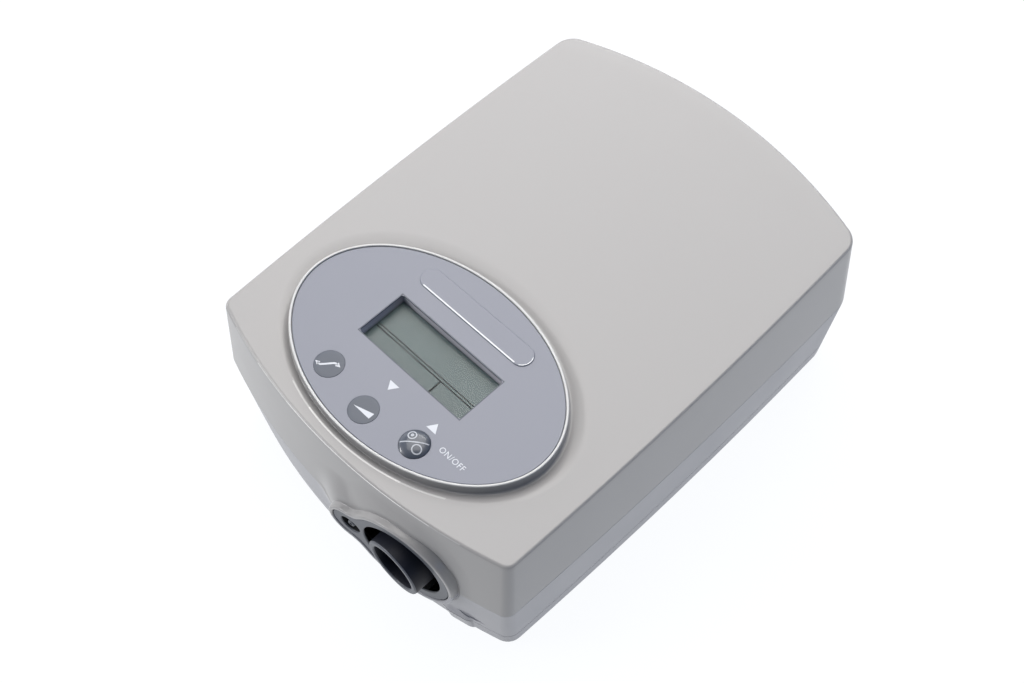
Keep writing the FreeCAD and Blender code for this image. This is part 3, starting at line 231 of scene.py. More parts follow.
def slice_mesh(V, F, s, drop):
    """cuts faces along the line where s is zero; the negative side goes if drop is set. All columns of V are interpolated."""
    s = np.where(np.abs(s) < 1e-5, 0.0, s)
    sg = np.sign(s).astype(int).tolist()
    fresh, cache, out, n0 = [], {}, [], len(V)
    for f in F:
        fs = [sg[i] for i in f]
        lo, hi = min(fs), max(fs)
        if lo >= 0 and hi > 0:
            out.append(f)
            continue
        if hi <= 0:
            if not drop:
                out.append(f)
            continue
        pos, neg, m = [], [], len(f)
        for k in range(m):
            a, b = f[k], f[(k + 1) % m]
            sa, sb = sg[a], sg[b]
            if sa >= 0:
                pos.append(a)
            if sa <= 0:
                neg.append(a)
            if sa * sb < 0:
                key = (a, b) if a < b else (b, a)
                c = cache.get(key)
                if c is None:
                    t = s[a] / (s[a] - s[b])
                    fresh.append(V[a] + (V[b] - V[a]) * t)
                    c = cache[key] = n0 + len(fresh) - 1
                pos.append(c)
                neg.append(c)
        if len(pos) >= 3:
            out.append(tuple(pos))
        if not drop and len(neg) >= 3:
            out.append(tuple(neg))
    return (np.vstack([V, np.array(fresh)]) if fresh else V), out


def border(F):
    """edges used by one face only, in that face's order"""
    seen = {}
    for f in F:
        m = len(f)
        for k in range(m):
            a, b = f[k], f[(k + 1) % m]
            key = (a, b) if a < b else (b, a)
            seen[key] = None if key in seen else (a, b)
    return [e for e in seen.values() if e]


def turn_in(V, F, where, steps):
    """walls from the border edges that where() accepts; steps is a list of moves, each a vector or a function of points"""
    V = np.asarray(V, float)
    edges = [e for e in border(F) if where(V[e[0]], V[e[1]])]
    last = sorted({i for e in edges for i in e})
    ids = {i: i for i in last}
    F = list(F)
    rows = [V]
    n = len(V)
    base = V[last]
    at = base.copy()
    for st in steps:
        at = at.copy()
        at[:, :3] += st(base) if callable(st) else np.asarray(st, float)
        new = {i: n + k for k, i in enumerate(last)}
        for a, b in edges:
            F.append((ids[b], ids[a], new[a], new[b]))
        rows.append(at)
        ids = new
        n += len(last)
    return np.vstack(rows), F


def slab(extent, step, inside, r, depth, origin, U, W, N, taper=0.0):
    """plate with a rounded face edge. inside(u, w) is the distance in from its outline, holes included; r rounds the edge."""
    u0, u1, w0, w1 = extent
    nu, nw = max(2, int(math.ceil((u1 - u0) / step))), max(2, int(math.ceil((w1 - w0) / step)))
    us, ws = np.linspace(u0, u1, nu + 1), np.linspace(w0, w1, nw + 1)
    A, B = np.meshgrid(us, ws)
    P = np.stack([A.ravel(), B.ravel(), np.zeros(A.size)], 1)
    s = inside(P[:, 0], P[:, 1])
    e = 1e-3
    gu = (inside(P[:, 0] + e, P[:, 1]) - inside(P[:, 0] - e, P[:, 1])) / (2 * e)
    gw = (inside(P[:, 0], P[:, 1] + e) - inside(P[:, 0], P[:, 1] - e)) / (2 * e)
    near = (np.abs(s) < 0.3 * step) & (np.hypot(gu, gw) > 0.9)
    P[near, 0] -= s[near] * gu[near]
    P[near, 1] -= s[near] * gw[near]
    F = [(j * (nu + 1) + i, j * (nu + 1) + i + 1, (j + 1) * (nu + 1) + i + 1, (j + 1) * (nu + 1) + i)
         for j in range(nw) for i in range(nu)]
    P, F = slice_mesh(P, F, inside(P[:, 0], P[:, 1]), True)
    for k in ([0.06, 0.2, 0.45, 0.75, 1.0] if r else []):
        P, F = slice_mesh(P, F, inside(P[:, 0], P[:, 1]) - k * r, False)
    if r:
        s = np.clip(inside(P[:, 0], P[:, 1]), 0, r)
        P[:, 2] = -(r - np.sqrt(np.maximum(r * r - (r - s) ** 2, 0)))
    if depth:
        P, F = turn_in(P, F, lambda a, b: True, [(0, 0, -depth)])
    U, W, N, o = (np.asarray(x, float) for x in (U, W, N, origin))
    X = o + P[:, :1] * U + P[:, 1:2] * W + P[:, 2:3] * N
    if np.dot(np.cross(U, W), N) < 0:
        F = [tuple(reversed(f)) for f in F]
    return X, F


def lathe(profile, centre, axis, n=96, closed=True):
    """profile of (radius, height along axis) turned round an axis; axis is 'x', 'y' or 'z'"""
    prof = np.array(profile, float)
    a = np.linspace(0, 2 * math.pi, n, endpoint=False)
    V = np.zeros((len(prof), n, 3))
    c, s = np.cos(a), np.sin(a)
    r, h = prof[:, :1], prof[:, 1:]
    if axis == "z":
        V[..., 0], V[..., 1], V[..., 2] = r * c, r * s, h + 0 * c
    elif axis == "y":
        V[..., 0], V[..., 2], V[..., 1] = r * c, r * s, h + 0 * c
    else:
        V[..., 1], V[..., 2], V[..., 0] = r * c, r * s, h + 0 * c
    V = V.reshape(-1, 3) + np.asarray(centre, float)
    F, m = [], len(prof)
    for i in range(m if closed else m - 1):
        i2 = (i + 1) % m
        for j in range(n):
            j2 = (j + 1) % n
            f = (i * n + j, i * n + j2, i2 * n + j2, i2 * n + j)
            F.append(tuple(reversed(f)) if axis == "y" else f)
    return V, F


def rounded(x0, x1, y0, y1, z0, z1, r, seg=3):
    """block with rounded edges"""
    bm = bmesh.new()
    bmesh.ops.create_cube(bm, size=1.0)
    for v in bm.verts:
        v.co = Vector(((x0 + x1) / 2 + v.co.x * (x1 - x0), (y0 + y1) / 2 + v.co.y * (y1 - y0), (z0 + z1) / 2 + v.co.z * (z1 - z0)))
    bmesh.ops.bevel(bm, geom=list(bm.edges), offset=r, segments=seg, profile=0.5, affect="EDGES")
    bm.verts.index_update()
    V = np.array([v.co for v in bm.verts])
    F = [tuple(v.index for v in f.verts) for f in bm.faces]
    bm.free()
    return V, F


# signed distances, negative inside
def sd_circle(u, w, cu, cw, r):
    return np.hypot(u - cu, w - cw) - r


def sd_box(u, w, u0, u1, w0, w1, r=0.0):
    qu = np.abs(u - (u0 + u1) / 2) - (u1 - u0) / 2 + r
    qw = np.abs(w - (w0 + w1) / 2) - (w1 - w0) / 2 + r
    return np.hypot(np.maximum(qu, 0), np.maximum(qw, 0)) + np.minimum(np.maximum(qu, qw), 0) - r


def sd_ellipse(u, w, cu, cw, a, b):
    p, q = (u - cu) / a, (w - cw) / b
    f = np.maximum(np.hypot(p, q), 1e-6)
    g = np.maximum(np.hypot(p / a, q / b) / f, 1e-6)
    return (f - 1.0) / g


def sd_polygon(u, w, pts):
    pts = np.asarray(pts, float)
    d2 = np.full(np.shape(u), 1e9)
    inside = np.zeros(np.shape(u), bool)
    n = len(pts)
    for i in range(n):
        a, b = pts[i], pts[(i + 1) % n]
        e = b - a
        t = np.clip(((u - a[0]) * e[0] + (w - a[1]) * e[1]) / (e @ e), 0, 1)
        d2 = np.minimum(d2, (u - a[0] - t * e[0]) ** 2 + (w - a[1] - t * e[1]) ** 2)
        if a[1] != b[1]:
            inside ^= ((a[1] > w) != (b[1] > w)) & (u < (b[0] - a[0]) * (w - a[1]) / (b[1] - a[1]) + a[0])
    d = np.sqrt(d2)
    return np.where(inside, -d, d)


def smin(a, b, k):
    h = np.maximum(k - np.abs(a - b), 0.0) / k
    return np.minimum(a, b) - h * h * k / 4.0


def smax(a, b, k):
    return -smin(-a, -b, k)


def arc(cx, cz, r, a0, a1, n):
    return [(cx + r * math.cos(math.radians(a0 + (a1 - a0) * k / n)), cz + r * math.sin(math.radians(a0 + (a1 - a0) * k / n))) for k in range(n + 1)]


# ---------------------------------------------------------------- casing outline, as in the CAD
EDGE, PART, FOOT, SHIFT = 67.9, 34.4, 2.0, 0.7
SLOPE, CROWN = 0.024, 1.5
CROWN_R = 68.15 ** 2 / (2 * CROWN)
PX, PY, PA, PB = -1.4, -51.0, 54.0, 36.0


def top_z(x, y):
    return EDGE + CROWN + SLOPE * (y - SHIFT) - (CROWN_R - np.sqrt(CROWN_R ** 2 - x * x))


def spread(stops):
    """positions from (value, spacing up to the next) pairs"""
    out = []
    for (a, st), (b, _) in zip(stops, stops[1:]):
        n = max(1, int(round((b - a) / st)))
        out += [a + (b - a) * k / n for k in range(n)]
    return out + [stops[-1][0]]


FRONT_X = spread([(-62.5, 1.5), (-4.0, 0.45), (58.0, 0.9), (63.0, 0.9)])
T_FRONT = [(x + 66.4) / 132.8 for x in FRONT_X]
T_SIDE = [(k + 1) / 81.0 for k in range(80)]
T_REAR = [(k + 1) / 77.0 for k in range(76)]
CORNER_N = 12


def ring(z, inset=0.0):
    """points of the casing's outline at a height, always the same number, going round from the front left corner"""
    up, down = EDGE - max(z, PART), max(PART - z, 0.0)
    hw = 68.15 + 0.0534 * up - 0.0677 * down - inset
    hf = 82.63 + 0.0968 * up - 0.0677 * down - inset
    hr = 82.63 + 0.0984 * up - 0.0677 * down - inset
    if z >= PART:
        t = min(1.0, (z - PART) / (EDGE - PART))
        rf, rr = 4.5 - 0.5 * t, 10.0 - 2.0 * t
    else:
        t = (PART - z) / (PART - FOOT)
        rf, rr = 4.5 + 1.5 * t, 10.0 + 3.0 * t
    rf, rr = max(rf - inset, 1.2), max(rr - inset, 1.2)
    corners = [(-hw, -hf), (hw, -hf), (hw, hr), (-hw, hr)]
    bows, out = [11.23, 1.69, 12.5, 1.69], [(0, -1), (1, 0), (0, 1), (-1, 0)]
    circ = []
    for i in range(4):
        a, b = corners[i], corners[(i + 1) % 4]
        half, s = math.hypot(b[0] - a[0], b[1] - a[1]) / 2.0, bows[i]
        R = (half * half + s * s) / (2.0 * s)
        circ.append(((a[0] + b[0]) / 2 - out[i][0] * (R - s), (a[1] + b[1]) / 2 - out[i][1] * (R - s), R))
    fil = []
    for i, r in enumerate((rf, rf, rr, rr)):
        c1, c2 = circ[i - 1], circ[i]
        R1, R2 = c1[2] - r, c2[2] - r
        dx, dy = c2[0] - c1[0], c2[1] - c1[1]
        D = math.hypot(dx, dy)
        a = (R1 * R1 - R2 * R2 + D * D) / (2 * D)
        h = math.sqrt(max(R1 * R1 - a * a, 0.0))
        mx, my = c1[0] + a * dx / D, c1[1] + a * dy / D
        opts = [(mx - g * h * dy / D, my + g * h * dx / D) for g in (1, -1)]
        p = min(opts, key=lambda q: math.hypot(q[0] - corners[i][0], q[1] - corners[i][1]))
        fil.append((p[0], p[1], r))

    def touch(c, f):
        vx, vy = f[0] - c[0], f[1] - c[1]
        n = math.hypot(vx, vy)
        return (c[0] + vx / n * c[2], c[1] + vy / n * c[2])

    pts = []
    for i in range(4):
        f = fil[i]
        p0, p1 = touch(circ[i - 1], f), touch(circ[i], f)
        a0, a1 = math.atan2(p0[1] - f[1], p0[0] - f[0]), math.atan2(p1[1] - f[1], p1[0] - f[0])
        while a1 < a0:
            a1 += 2 * math.pi
        for k in range(CORNER_N + 1):
            a = a0 + (a1 - a0) * k / CORNER_N
            pts.append((f[0] + f[2] * math.cos(a), f[1] + f[2] * math.sin(a)))
        c = circ[i]
        q1 = touch(c, fil[(i + 1) % 4])
        b0, b1 = math.atan2(p1[1] - c[1], p1[0] - c[0]), math.atan2(q1[1] - c[1], q1[0] - c[0])
        while b1 < b0:
            b1 += 2 * math.pi
        for t in (T_FRONT, T_SIDE, T_REAR, T_SIDE)[i]:
            a = b0 + (b1 - b0) * t
            pts.append((c[0] + c[2] * math.cos(a), c[1] + c[2] * math.sin(a)))
    P = np.array(pts)
    P[:, 1] += SHIFT
    return P


NCOL = len(ring(50.0))
LEVELS = [2.0, 9.0, 17.0, 26.0, PART, 45.0, 56.0, EDGE, 75.0]
_rings = {}


def outline_at(z, inset):
    """outline points for a height per column"""
    key = round(inset, 5)
    if key not in _rings:
        _rings[key] = np.stack([ring(q, inset) for q in LEVELS])
    R = _rings[key]
    z = np.broadcast_to(np.asarray(z, float), (NCOL,))
    k = np.clip(np.searchsorted(LEVELS, z) - 1, 0, len(LEVELS) - 2)
    L = np.array(LEVELS)
    t = ((z - L[k]) / (L[k + 1] - L[k]))[:, None]
    i = np.arange(NCOL)
    return R[k, i] * (1 - t) + R[k + 1, i] * t


def grid_faces(rows, closed=True):
    F = []
    for i in range(rows - 1):
        for j in range(NCOL):
            j2 = (j + 1) % NCOL
            F.append((i * NCOL + j, i * NCOL + j2, (i + 1) * NCOL + j2, (i + 1) * NCOL + j))
    return F


# ---------------------------------------------------------------- outlet port outline
YAW = math.radians(9.0)
PORT = np.array([31.5, -95.8, 35.9])
PU = np.array([math.cos(YAW), math.sin(YAW), 0.0])
PN = np.array([math.sin(YAW), -math.cos(YAW), 0.0])
PW = np.array([0.0, 0.0, 1.0])
LOBE_U = -21.3


def keyhole(u, w, r=19.2, lobe=7.3):
    big = sd_circle(u, w, 0, 0, r)
    small = sd_circle(u, w, LOBE_U, 0, lobe)
    web = sd_polygon(u, w, [(LOBE_U, lobe), (-r * 0.55, r * 0.62), (0, 0), (-r * 0.55, -r * 0.62), (LOBE_U, -lobe)])
    return smin(big, np.minimum(small, web), 1.6)


def port_uv(P):
    q = P[:, :3] - PORT
    return q @ PU, q[:, 2], q @ PN


SEAT = 0.15      # gap between the plate and its seat
COLLAR = 1.7     # width of the collar round the seat
COLLAR_TOP = 0.35


def port_distance(P):
    u, w, _ = port_uv(P)
    return keyhole(u, w) - SEAT


def swell(V):
    """the wall rises gently towards the port all round it"""
    s = np.maximum(port_distance(V), 0.0)
    u, w, n = port_uv(V)
    n0 = n + V[:, 3]
    fall = np.where(w > 0, 13.0, 16.0)
    target = -(1.75 + 1.0 * np.clip((u - 5.0) / 9.0, 0, 1) + 5.6 * (s / fall) ** 1.7)
    new = smax(target, n0, 1.6)
    z = V[:, 2]

    def ease(t):
        t = np.clip(t, 0, 1)
        return t * t * (3 - 2 * t)

    k = ease((66.3 - z) / 6.5) * ease((z - 10.4) / 6.0) * ease((V[:, 0] + 12.0) / 16.0) * ease((63.5 - V[:, 0]) / 9.0) * (V[:, 1] < -78)
    return V[:, :3] + np.outer((new - n0) * k, PN)


def raise_collar(V):
    """V's fourth column is how far the point lies behind the wall's face"""
    s = port_distance(V)
    _, _, n = port_uv(V)
    n0 = n + V[:, 3]
    ri, ro = 0.4, 0.7
    m = np.full(len(V), COLLAR_TOP)
    a = np.clip(ri - s, 0, ri)
    m -= ri - np.sqrt(np.maximum(ri * ri - a * a, 0))
    b = np.clip(s - (COLLAR - ro), 0, ro)
    m -= ro - np.sqrt(np.maximum(ro * ro - b * b, 0))
    m -= np.maximum(s - COLLAR, 0) * 7.0
    new = smax(m, n0, 0.6)
    u, _, _ = port_uv(V)
    new = new - 0.42 * np.exp(-((s - 2.15) / 0.33) ** 2) * np.clip((u - 3.0) / 9.0, 0, 1)
    V = V.copy()
    V[:, :3] += np.outer(new - n0, PN)
    return V


def open_port(V, F):
    """cuts the keyhole and raises the collar round it"""
    V = V.copy()
    s = port_distance(V)
    region = (V[:, 1] < -78) & (s < 8.0) & (np.abs(V[:, 2] - PORT[2]) < 30)
    e = 1e-3
    u, w, _ = port_uv(V)
    gu = (keyhole(u + e, w) - keyhole(u - e, w)) / (2 * e)
    gw = (keyhole(u, w + e) - keyhole(u, w - e)) / (2 * e)
    near = region & (np.abs(s) < 0.13) & (V[:, 3] < 1e-6)
    # points next to the outline slide onto it, along the wall
    V[near, 0] -= (s * gu)[near] * PU[0]
    V[near, 1] -= (s * gu)[near] * PU[1]
    keep_z = V[:, 2].copy()
    V[near, 2] -= (s * gw)[near]
    lowest = keep_z.min()
    edge = near & ((keep_z < lowest + 0.4) | (keep_z > keep_z.max() - 0.4))
    V[edge, 2] = keep_z[edge]
    part, rest = [], []
    flag = region.tolist()
    for f in F:
        (part if any(flag[i] for i in f) else rest).append(f)
    V, part = slice_mesh(V, part, port_distance(V), True)
    for lv in (0.1, 0.22, 0.4, 0.7, 1.0, 1.15, 1.3, 1.45, 1.58, 1.68, 1.74, 1.8, 1.87, 1.95, 2.05, 2.2, 2.45, 2.8, 3.3):
        V, part = slice_mesh(V, part, port_distance(V) - lv, False)
    used = sorted({i for f in part for i in f})
    moved = raise_collar(V[used])
    V[used] = moved
    F = rest + part
    F = turn_port(V, F)
    return F


def turn_port(V, F):
    """walls going in from the keyhole's edge"""
    u, w, _ = port_uv(V)
    on = (np.abs(keyhole(u, w) - SEAT) < 0.02) & (V[:, 1] < -78) & (V[:, 3] < 0.9)
    hit = {tuple(p) for p in V[on, :3]}
    return turn_in(V, F, lambda a, b: tuple(a[:3]) in hit and tuple(b[:3]) in hit, [np.append(-PN * 0.6, 0)[:3], -PN * 2.8])


# ---------------------------------------------------------------- upper shell
def edge_rows(z_edge, z_wall, r, going_up):
    """heights and insets of the rows that turn the wall's end in with a small radius"""
    rows = []
    sign = 1 if going_up else -1
    for inset in (2.2, 1.1, 0.5):
        rows.append((z_edge, inset))
    for k in range(1, 5):
        a = math.radians(90.0 * k / 4)
        rows.append((z_edge + sign * r * (1 - math.cos(a)), r * (1 - math.sin(a))))
    return rows


def parting():
    """half the gap between the two shells per column: closed up along the front, open along the sides and the rear"""
    p = outline_at(PART, 0.0)
    t = np.clip((p[:, 1] + 82.0) / 6.0, 0, 1)
    return 0.015 + 0.075 * t


MOAT = (60.0, 40.4)
LIP = 0.62       # width of the band along the dish's front lip that takes the painted highlight colours


def moat_depth(x, y):
    """how far the dish round the panel lies below the crowned top"""
    e0 = sd_ellipse(x, y, PX, PY, PA + 0.35, PB + 0.35)
    e1 = -sd_ellipse(x, y, PX, PY + 2.0, MOAT[0] + 0.6, MOAT[1] + 0.35)
    rho = np.clip(e0, 0, None) / np.maximum(np.clip(e0, 0, None) + np.clip(e1, 0, None), 1e-6)
    front = np.clip((PY - 2.0 - y) / 36.0, 0, 1) ** 1.5
    depth = 1.85 - 0.6 * front - 0.5 * np.clip((y - PY) / 36.0, 0, 1)
    k = 1.7 - 0.15 * front
    out = depth * np.power(np.clip(1 - rho, 0, 1), k)
    return np.where(e1 <= 0, 0.0, out)


def upper_shell():
    rows = []
    z0 = PART + parting()
    for z, inset in edge_rows(z0, 0, 0.08, True):
        p = outline_at(z, inset)
        rows.append(np.c_[p, z, np.full(NCOL, inset)])
    low = z0 + 0.08

    def top_edge(r):
        """height at which each column's wall meets the rounded top edge, and the edge's rows"""
        z = np.full(NCOL, 68.0)
        for _ in range(4):
            p = outline_at(z, 0.0)
            z = top_z(p[:, 0], p[:, 1]) - r
        edge = []
        for k in range(1, 10):
            a = math.radians(10.0 * k)
            zz = z
            for _ in range(3):
                p = outline_at(zz, r * (1 - math.cos(a)))
                zz = top_z(p[:, 0], p[:, 1]) - r * (1 - math.sin(a))
            edge.append(np.c_[p, zz, np.zeros(NCOL)])
        return z, edge

    p = outline_at(68.0, 0.0)
    full = np.clip((-80.0 - p[:, 1]) / 4.0, 0, 1) * np.clip((22.0 - p[:, 0]) / 30.0, 0, 1)
    (za, ea), (zb, eb) = top_edge(0.9), top_edge(1.05)
    z_wall = za * (1 - full) + zb * full
    fr = np.r_[np.linspace(0, 25.5, 58)[1:] / 1.0, np.array([27.0, 28.6, 30.2])]
    span = z_wall - low
    for f in fr:
        t = f / 30.2
        zz = low + min(f, 25.5) + float(np.clip((f - 25.5) / (30.2 - 25.5), 0, 1)) * (z_wall - low - 25.5)
        p = outline_at(zz, 0.0)
        rows.append(np.c_[p, zz, np.zeros(NCOL)])
    rows += [a * (1 - full[:, None]) + b * full[:, None] for a, b in zip(ea, eb)]
    n_wall = len(rows) * NCOL
    # lit0 marks the top edge rows whose front faces take the painted highlight colours
    lit0 = n_wall - 8 * NCOL
    outer = rows[-1][:, :2]
    d = outer - (PX, PY)


    def on_oval(off):
        """points on the oval that lies off outside the rim's wall"""
        return d / np.hypot(d[:, 0] / (PA + off), d[:, 1] / (PB + off))[:, None] + (PX, PY)

    front = np.clip((PY - 2.0 - on_oval(0)[:, 1]) / 34.0, 0, 1) ** 1.5
    fr_r = 0.95 - 0.7 * front
    q = on_oval(fr_r * 1.37)
    L = np.hypot(*(outer - q).T)
    dirs = (outer - q) / L[:, None]
    D1 = np.minimum(13.0, 0.72 * L)
    steps = []
    K2, K1 = 22, 34
    for k in range(1, K2 + 1):
        t = 1 - k / K2
        steps.append(D1 + (L - D1) * t ** 1.25)
    for k in range(1, K1 + 1):
        steps.append(D1 * (1 - k / K1))
    for dist in steps:
        p = q + dirs * dist[:, None]
        zz = top_z(p[:, 0], p[:, 1]) - moat_depth(p[:, 0], p[:, 1])
        rows.append(np.c_[p, zz, np.zeros(NCOL)])
    # the dish turns up into the rim's wall, and the rim has a rounded top
    zc = zz + fr_r * math.cos(math.radians(22.0))
    for k in range(1, 9):
        a = math.radians(-22.0 + 112.0 * k / 8)
        rows.append(np.c_[on_oval(fr_r * (1 - math.sin(a))), zc - fr_r * math.cos(a), np.zeros(NCOL)])
    for t in (0.35, 0.7, 1.0):
        rows.append(np.c_[on_oval(0.0), zc + (70.04 - zc) * t, np.zeros(NCOL)])
    # from here on the rim's rows take the rim colour, the painted highlight
    rim_start = (len(rows) - 1) * NCOL
    for off, z in arc(-0.36, 70.04, 0.36, 0, 90, 6)[1:] + [(-0.58, 70.4)] + arc(-0.58, 70.04, 0.36, 90, 180, 5)[1:] + [(-0.94, 69.3), (-1.1, 69.2), (-1.1, 64.0)]:
        rows.append(np.c_[on_oval(off), np.full(NCOL, z), np.zeros(NCOL)])
    V = np.concatenate(rows)
    rim_end = len(V)
    F = grid_faces(len(rows))
    V[:n_wall, :3] = swell(V[:n_wall])
    V, F = open_port(V, F)
    # rear opening for the filter cover
    s = np.where(V[:, 1] > 85, sd_box(V[:, 0], V[:, 2], -25.0, 25.0, 38.4, 60.6, 0.8), 50.0)
    V, F = slice_mesh(V, F, s, True)
    for lv in (0.07, 0.2, 0.35):
        s = np.where(V[:, 1] > 85, sd_box(V[:, 0], V[:, 2], -25.0, 25.0, 38.4, 60.6, 0.8) - lv, 50.0)
        V, F = slice_mesh(V, F, s, False)
    s = np.where(V[:, 1] > 85, sd_box(V[:, 0], V[:, 2], -25.0, 25.0, 38.4, 60.6, 0.8), 50.0)
    a = np.clip(0.35 - s, 0, 0.35)
    V[:, 1] -= np.where(s < 0.36, 0.35 - np.sqrt(np.maximum(0.35 ** 2 - a * a, 0)), 0)
    V, F = turn_in(V, F, lambda a, b: a[1] > 88 and b[1] > 88 and abs(a[0]) < 25.1 and abs(b[0]) < 25.1 and 38.2 < a[2] < 60.8 and 38.2 < b[2] < 60.8,
                   [(0, -3.2, 0)])

    def lip(P):
        return np.where((P[:, 2] > 66.5) & (P[:, 1] < PY), -sd_ellipse(P[:, 0], P[:, 1], PX, PY + 2.0, MOAT[0] + 0.6, MOAT[1] + 0.35), 9.0)

    e = lip(V)
    near = (np.abs(e) < 3.0).tolist()
    part = [f for f in F if all(near[i] for i in f)]
    F = [f for f in F if not all(near[i] for i in f)]
    for lv in (0.0, LIP):
        V, part = slice_mesh(V, part, lip(V) - lv, False)
    n_lip = len(part)
    F = part + F
    e = lip(V)
    # the dish's front lip and the top-front edge take the painted highlight colours edge_1 to edge_3, brightest in the
    # middle
    mat = []
    for k, f in enumerate(F):
        c = V[list(f), 0].mean()
        if k < n_lip and -28.0 < c < 38.0 and 0.0 < e[list(f)].mean() < LIP and V[list(f), 2].max() < 70.3:
            mat.append(3 if -16.0 < c < 24.0 else 4)
        elif all(rim_start <= i < rim_end for i in f):
            mat.append(1)
        elif -58.0 < c < 52.0 and V[f[0], 1] < -78 and all(lit0 <= i < lit0 + 3 * NCOL for i in f):
            mat.append(2 if -24.0 < c < 30.0 else 3 if -42.0 < c < 41.0 else 4)
        else:
            mat.append(0)
    return add("upper_shell_moulding", V, F, [M["shell"], M["rim"], M["edge_1"], M["edge_2"], M["edge_3"]], "case", "upper_shell", sharp=48, mat_index=mat)


# ---------------------------------------------------------------- lower shell
def front_bump(V):
    """the low bulge of the base runs up the wall and dies out in it"""
    pts = []
    for cx, cy, r, a0, a1 in ((40.8, -85.0, 6.0, 180, 262), (45.7, -86.8, 4.0, 250, 284), (51.4, -85.4, 4.0, 284, 360)):
        pts += [(cx + r * math.cos(math.radians(a0 + (a1 - a0) * k / 12)), cy + r * math.sin(math.radians(a0 + (a1 - a0) * k / 12))) for k in range(13)]
    pts = np.array(sorted(pts))
    x, y, z = V[:, 0], V[:, 1], V[:, 2]
    up = np.maximum(z - 9.85, 0)
    target = np.interp(x, pts[:, 0], pts[:, 1], left=-70.0, right=-70.0) + 0.05 + 0.1 * up + 0.035 * up * up + V[:, 3]
    near = (y < -78) & (x > 34.8) & (x < 55.4) & (z < 22)
    V = V.copy()
    V[near, 1] = smin(y[near], target[near], 0.7)
    return V


def scoop_t(x):
    return np.clip((x - 49.0) / 10.6, 0, 1)


def scoop_low(x):
    t = scoop_t(x)
    return 14.4 - 0.9 * t - 7.0 * t * (1 - t)


def scoop_high(x):
    t = scoop_t(x)
    return 14.4 - 0.9 * t + 13.0 * t * (1 - t)


def finger_scoop(V, F):
    """almond-shaped hollow above the bump: a crisp lower lip, running out softly upwards"""
    region = (V[:, 1] < -78) & (V[:, 0] > 48.2) & (V[:, 0] < 60.4) & (V[:, 2] > 11.0) & (V[:, 2] < 19.0) & (V[:, 3] < 1e-6)
    flag = region.tolist()
    part, rest = [], []
    for f in F:
        (part if all(flag[i] for i in f) else rest).append(f)
    for lift in (0.0, 0.16, 0.4, 0.8):
        V, part = slice_mesh(V, part, V[:, 2] - scoop_low(V[:, 0]) - lift, False)
    V, part = slice_mesh(V, part, V[:, 2] - scoop_high(V[:, 0]), False)
    used = sorted({i for f in part for i in f})
    P = V[used]
    lo, hi = scoop_low(P[:, 0]), scoop_high(P[:, 0])
    open_ = np.maximum(hi - lo, 1e-6)
    v = np.clip((P[:, 2] - lo) / open_, 0, 1)
    wide = np.clip(np.sin(math.pi * scoop_t(P[:, 0])), 0, 1) ** 0.8
    lip = np.clip((P[:, 2] - lo) / 0.16, 0, 1)
    P[:, 1] += 0.5 * wide * lip * (1 - v) ** 1.2 * (P[:, 2] < hi)
    V = V.copy()
    V[used] = P
    return V, rest + part


def lower_shell():
    rows = []
    z_top, z_bot = PART - parting(), 9.9
    # from the bottom up
    for z, inset in edge_rows(z_bot, 0, 0.18, True):
        rows.append(np.c_[outline_at(z, inset), np.full(NCOL, z), np.full(NCOL, inset)])
    for t in np.linspace(0, 1, 58)[1:-1]:
        z = z_bot + 0.18 + t * (z_top - 0.08 - z_bot - 0.18)
        rows.append(np.c_[outline_at(z, 0.0), z, np.zeros(NCOL)])
    for z, inset in reversed(edge_rows(z_top, 0, 0.08, False)):
        rows.append(np.c_[outline_at(z, inset), z, np.full(NCOL, inset)])
    V = np.concatenate(rows)
    F = grid_faces(len(rows))
    V[:, :3] = swell(V)
    V = front_bump(V)
    V, F = open_port(V, F)
    V, F = finger_scoop(V, F)

    def pocket(P):
        return np.where(P[:, 1] > 85, sd_box(P[:, 0], P[:, 2], -30.5, 30.5, 13.0, 31.6, 1.5), 50.0)
    V, F = slice_mesh(V, F, pocket(V), True)
    for lv in (0.08, 0.22, 0.4):
        V, F = slice_mesh(V, F, pocket(V) - lv, False)
    s = pocket(V)
    a = np.clip(0.4 - s, 0, 0.4)
    V[:, 1] -= np.where(s < 0.41, 0.4 - np.sqrt(np.maximum(0.4 ** 2 - a * a, 0)), 0)
    hit = (np.abs(pocket(V)) < 0.02) & (V[:, 3] < 0.5)
    keys = {tuple(p) for p in V[hit, :3]}
    edge_pts = V.copy()
    # pocket walls run back to its flat floor
    V, F = turn_in(V, F, lambda a, b: tuple(a[:3]) in keys and tuple(b[:3]) in keys,
                   [lambda base: np.c_[np.zeros(len(base)), 95.5 - base[:, 1], np.zeros(len(base))]])
    P1, F1 = slab((-30.6, 30.6, 12.9, 31.7), 1.2, lambda x, z: np.minimum(-sd_box(x, z, -30.5, 30.5, 13.0, 31.6, 1.5),
                  np.minimum(sd_box(x, z, 4.0, 26.0, 15.4, 27.6, 0.6), sd_box(x, z, -21.0, -7.0, 16.5, 26.5, 0.4))), 0, 1.6,
                  (0, 95.5, 0), (1, 0, 0), (0, 0, 1), (0, 1, 0))
    lug = [rounded(x0, x1, 95.0, 97.7, 13.2, 17.0, 0.3) for x0, x1 in ((-28.2, -25.4), (-2.6, 0.2))]
    V, F = merge((V, F), (P1, F1), *lug)
    return add("lower_shell_moulding", V, F, M["shell_low"], "case", "lower_shell", sharp=48)


upper_shell()
lower_shell()


# ---------------------------------------------------------------- control panel
KEYS = {"info": (-22.3, -74.1), "ramp": (-1.8, -77.5), "power": (18.8, -74.5)}
WIN = (-25.3, 22.3, -58.6, -39.4)


def label_inside(x, y):
    s = -sd_ellipse(x, y, PX, PY, PA - 1.14, PB - 1.14)
    s = np.minimum(s, sd_box(x, y, *WIN, 0.25))
    for kx, ky in KEYS.values():
        s = np.minimum(s, sd_circle(x, y, kx, ky, 5.14))
    return s


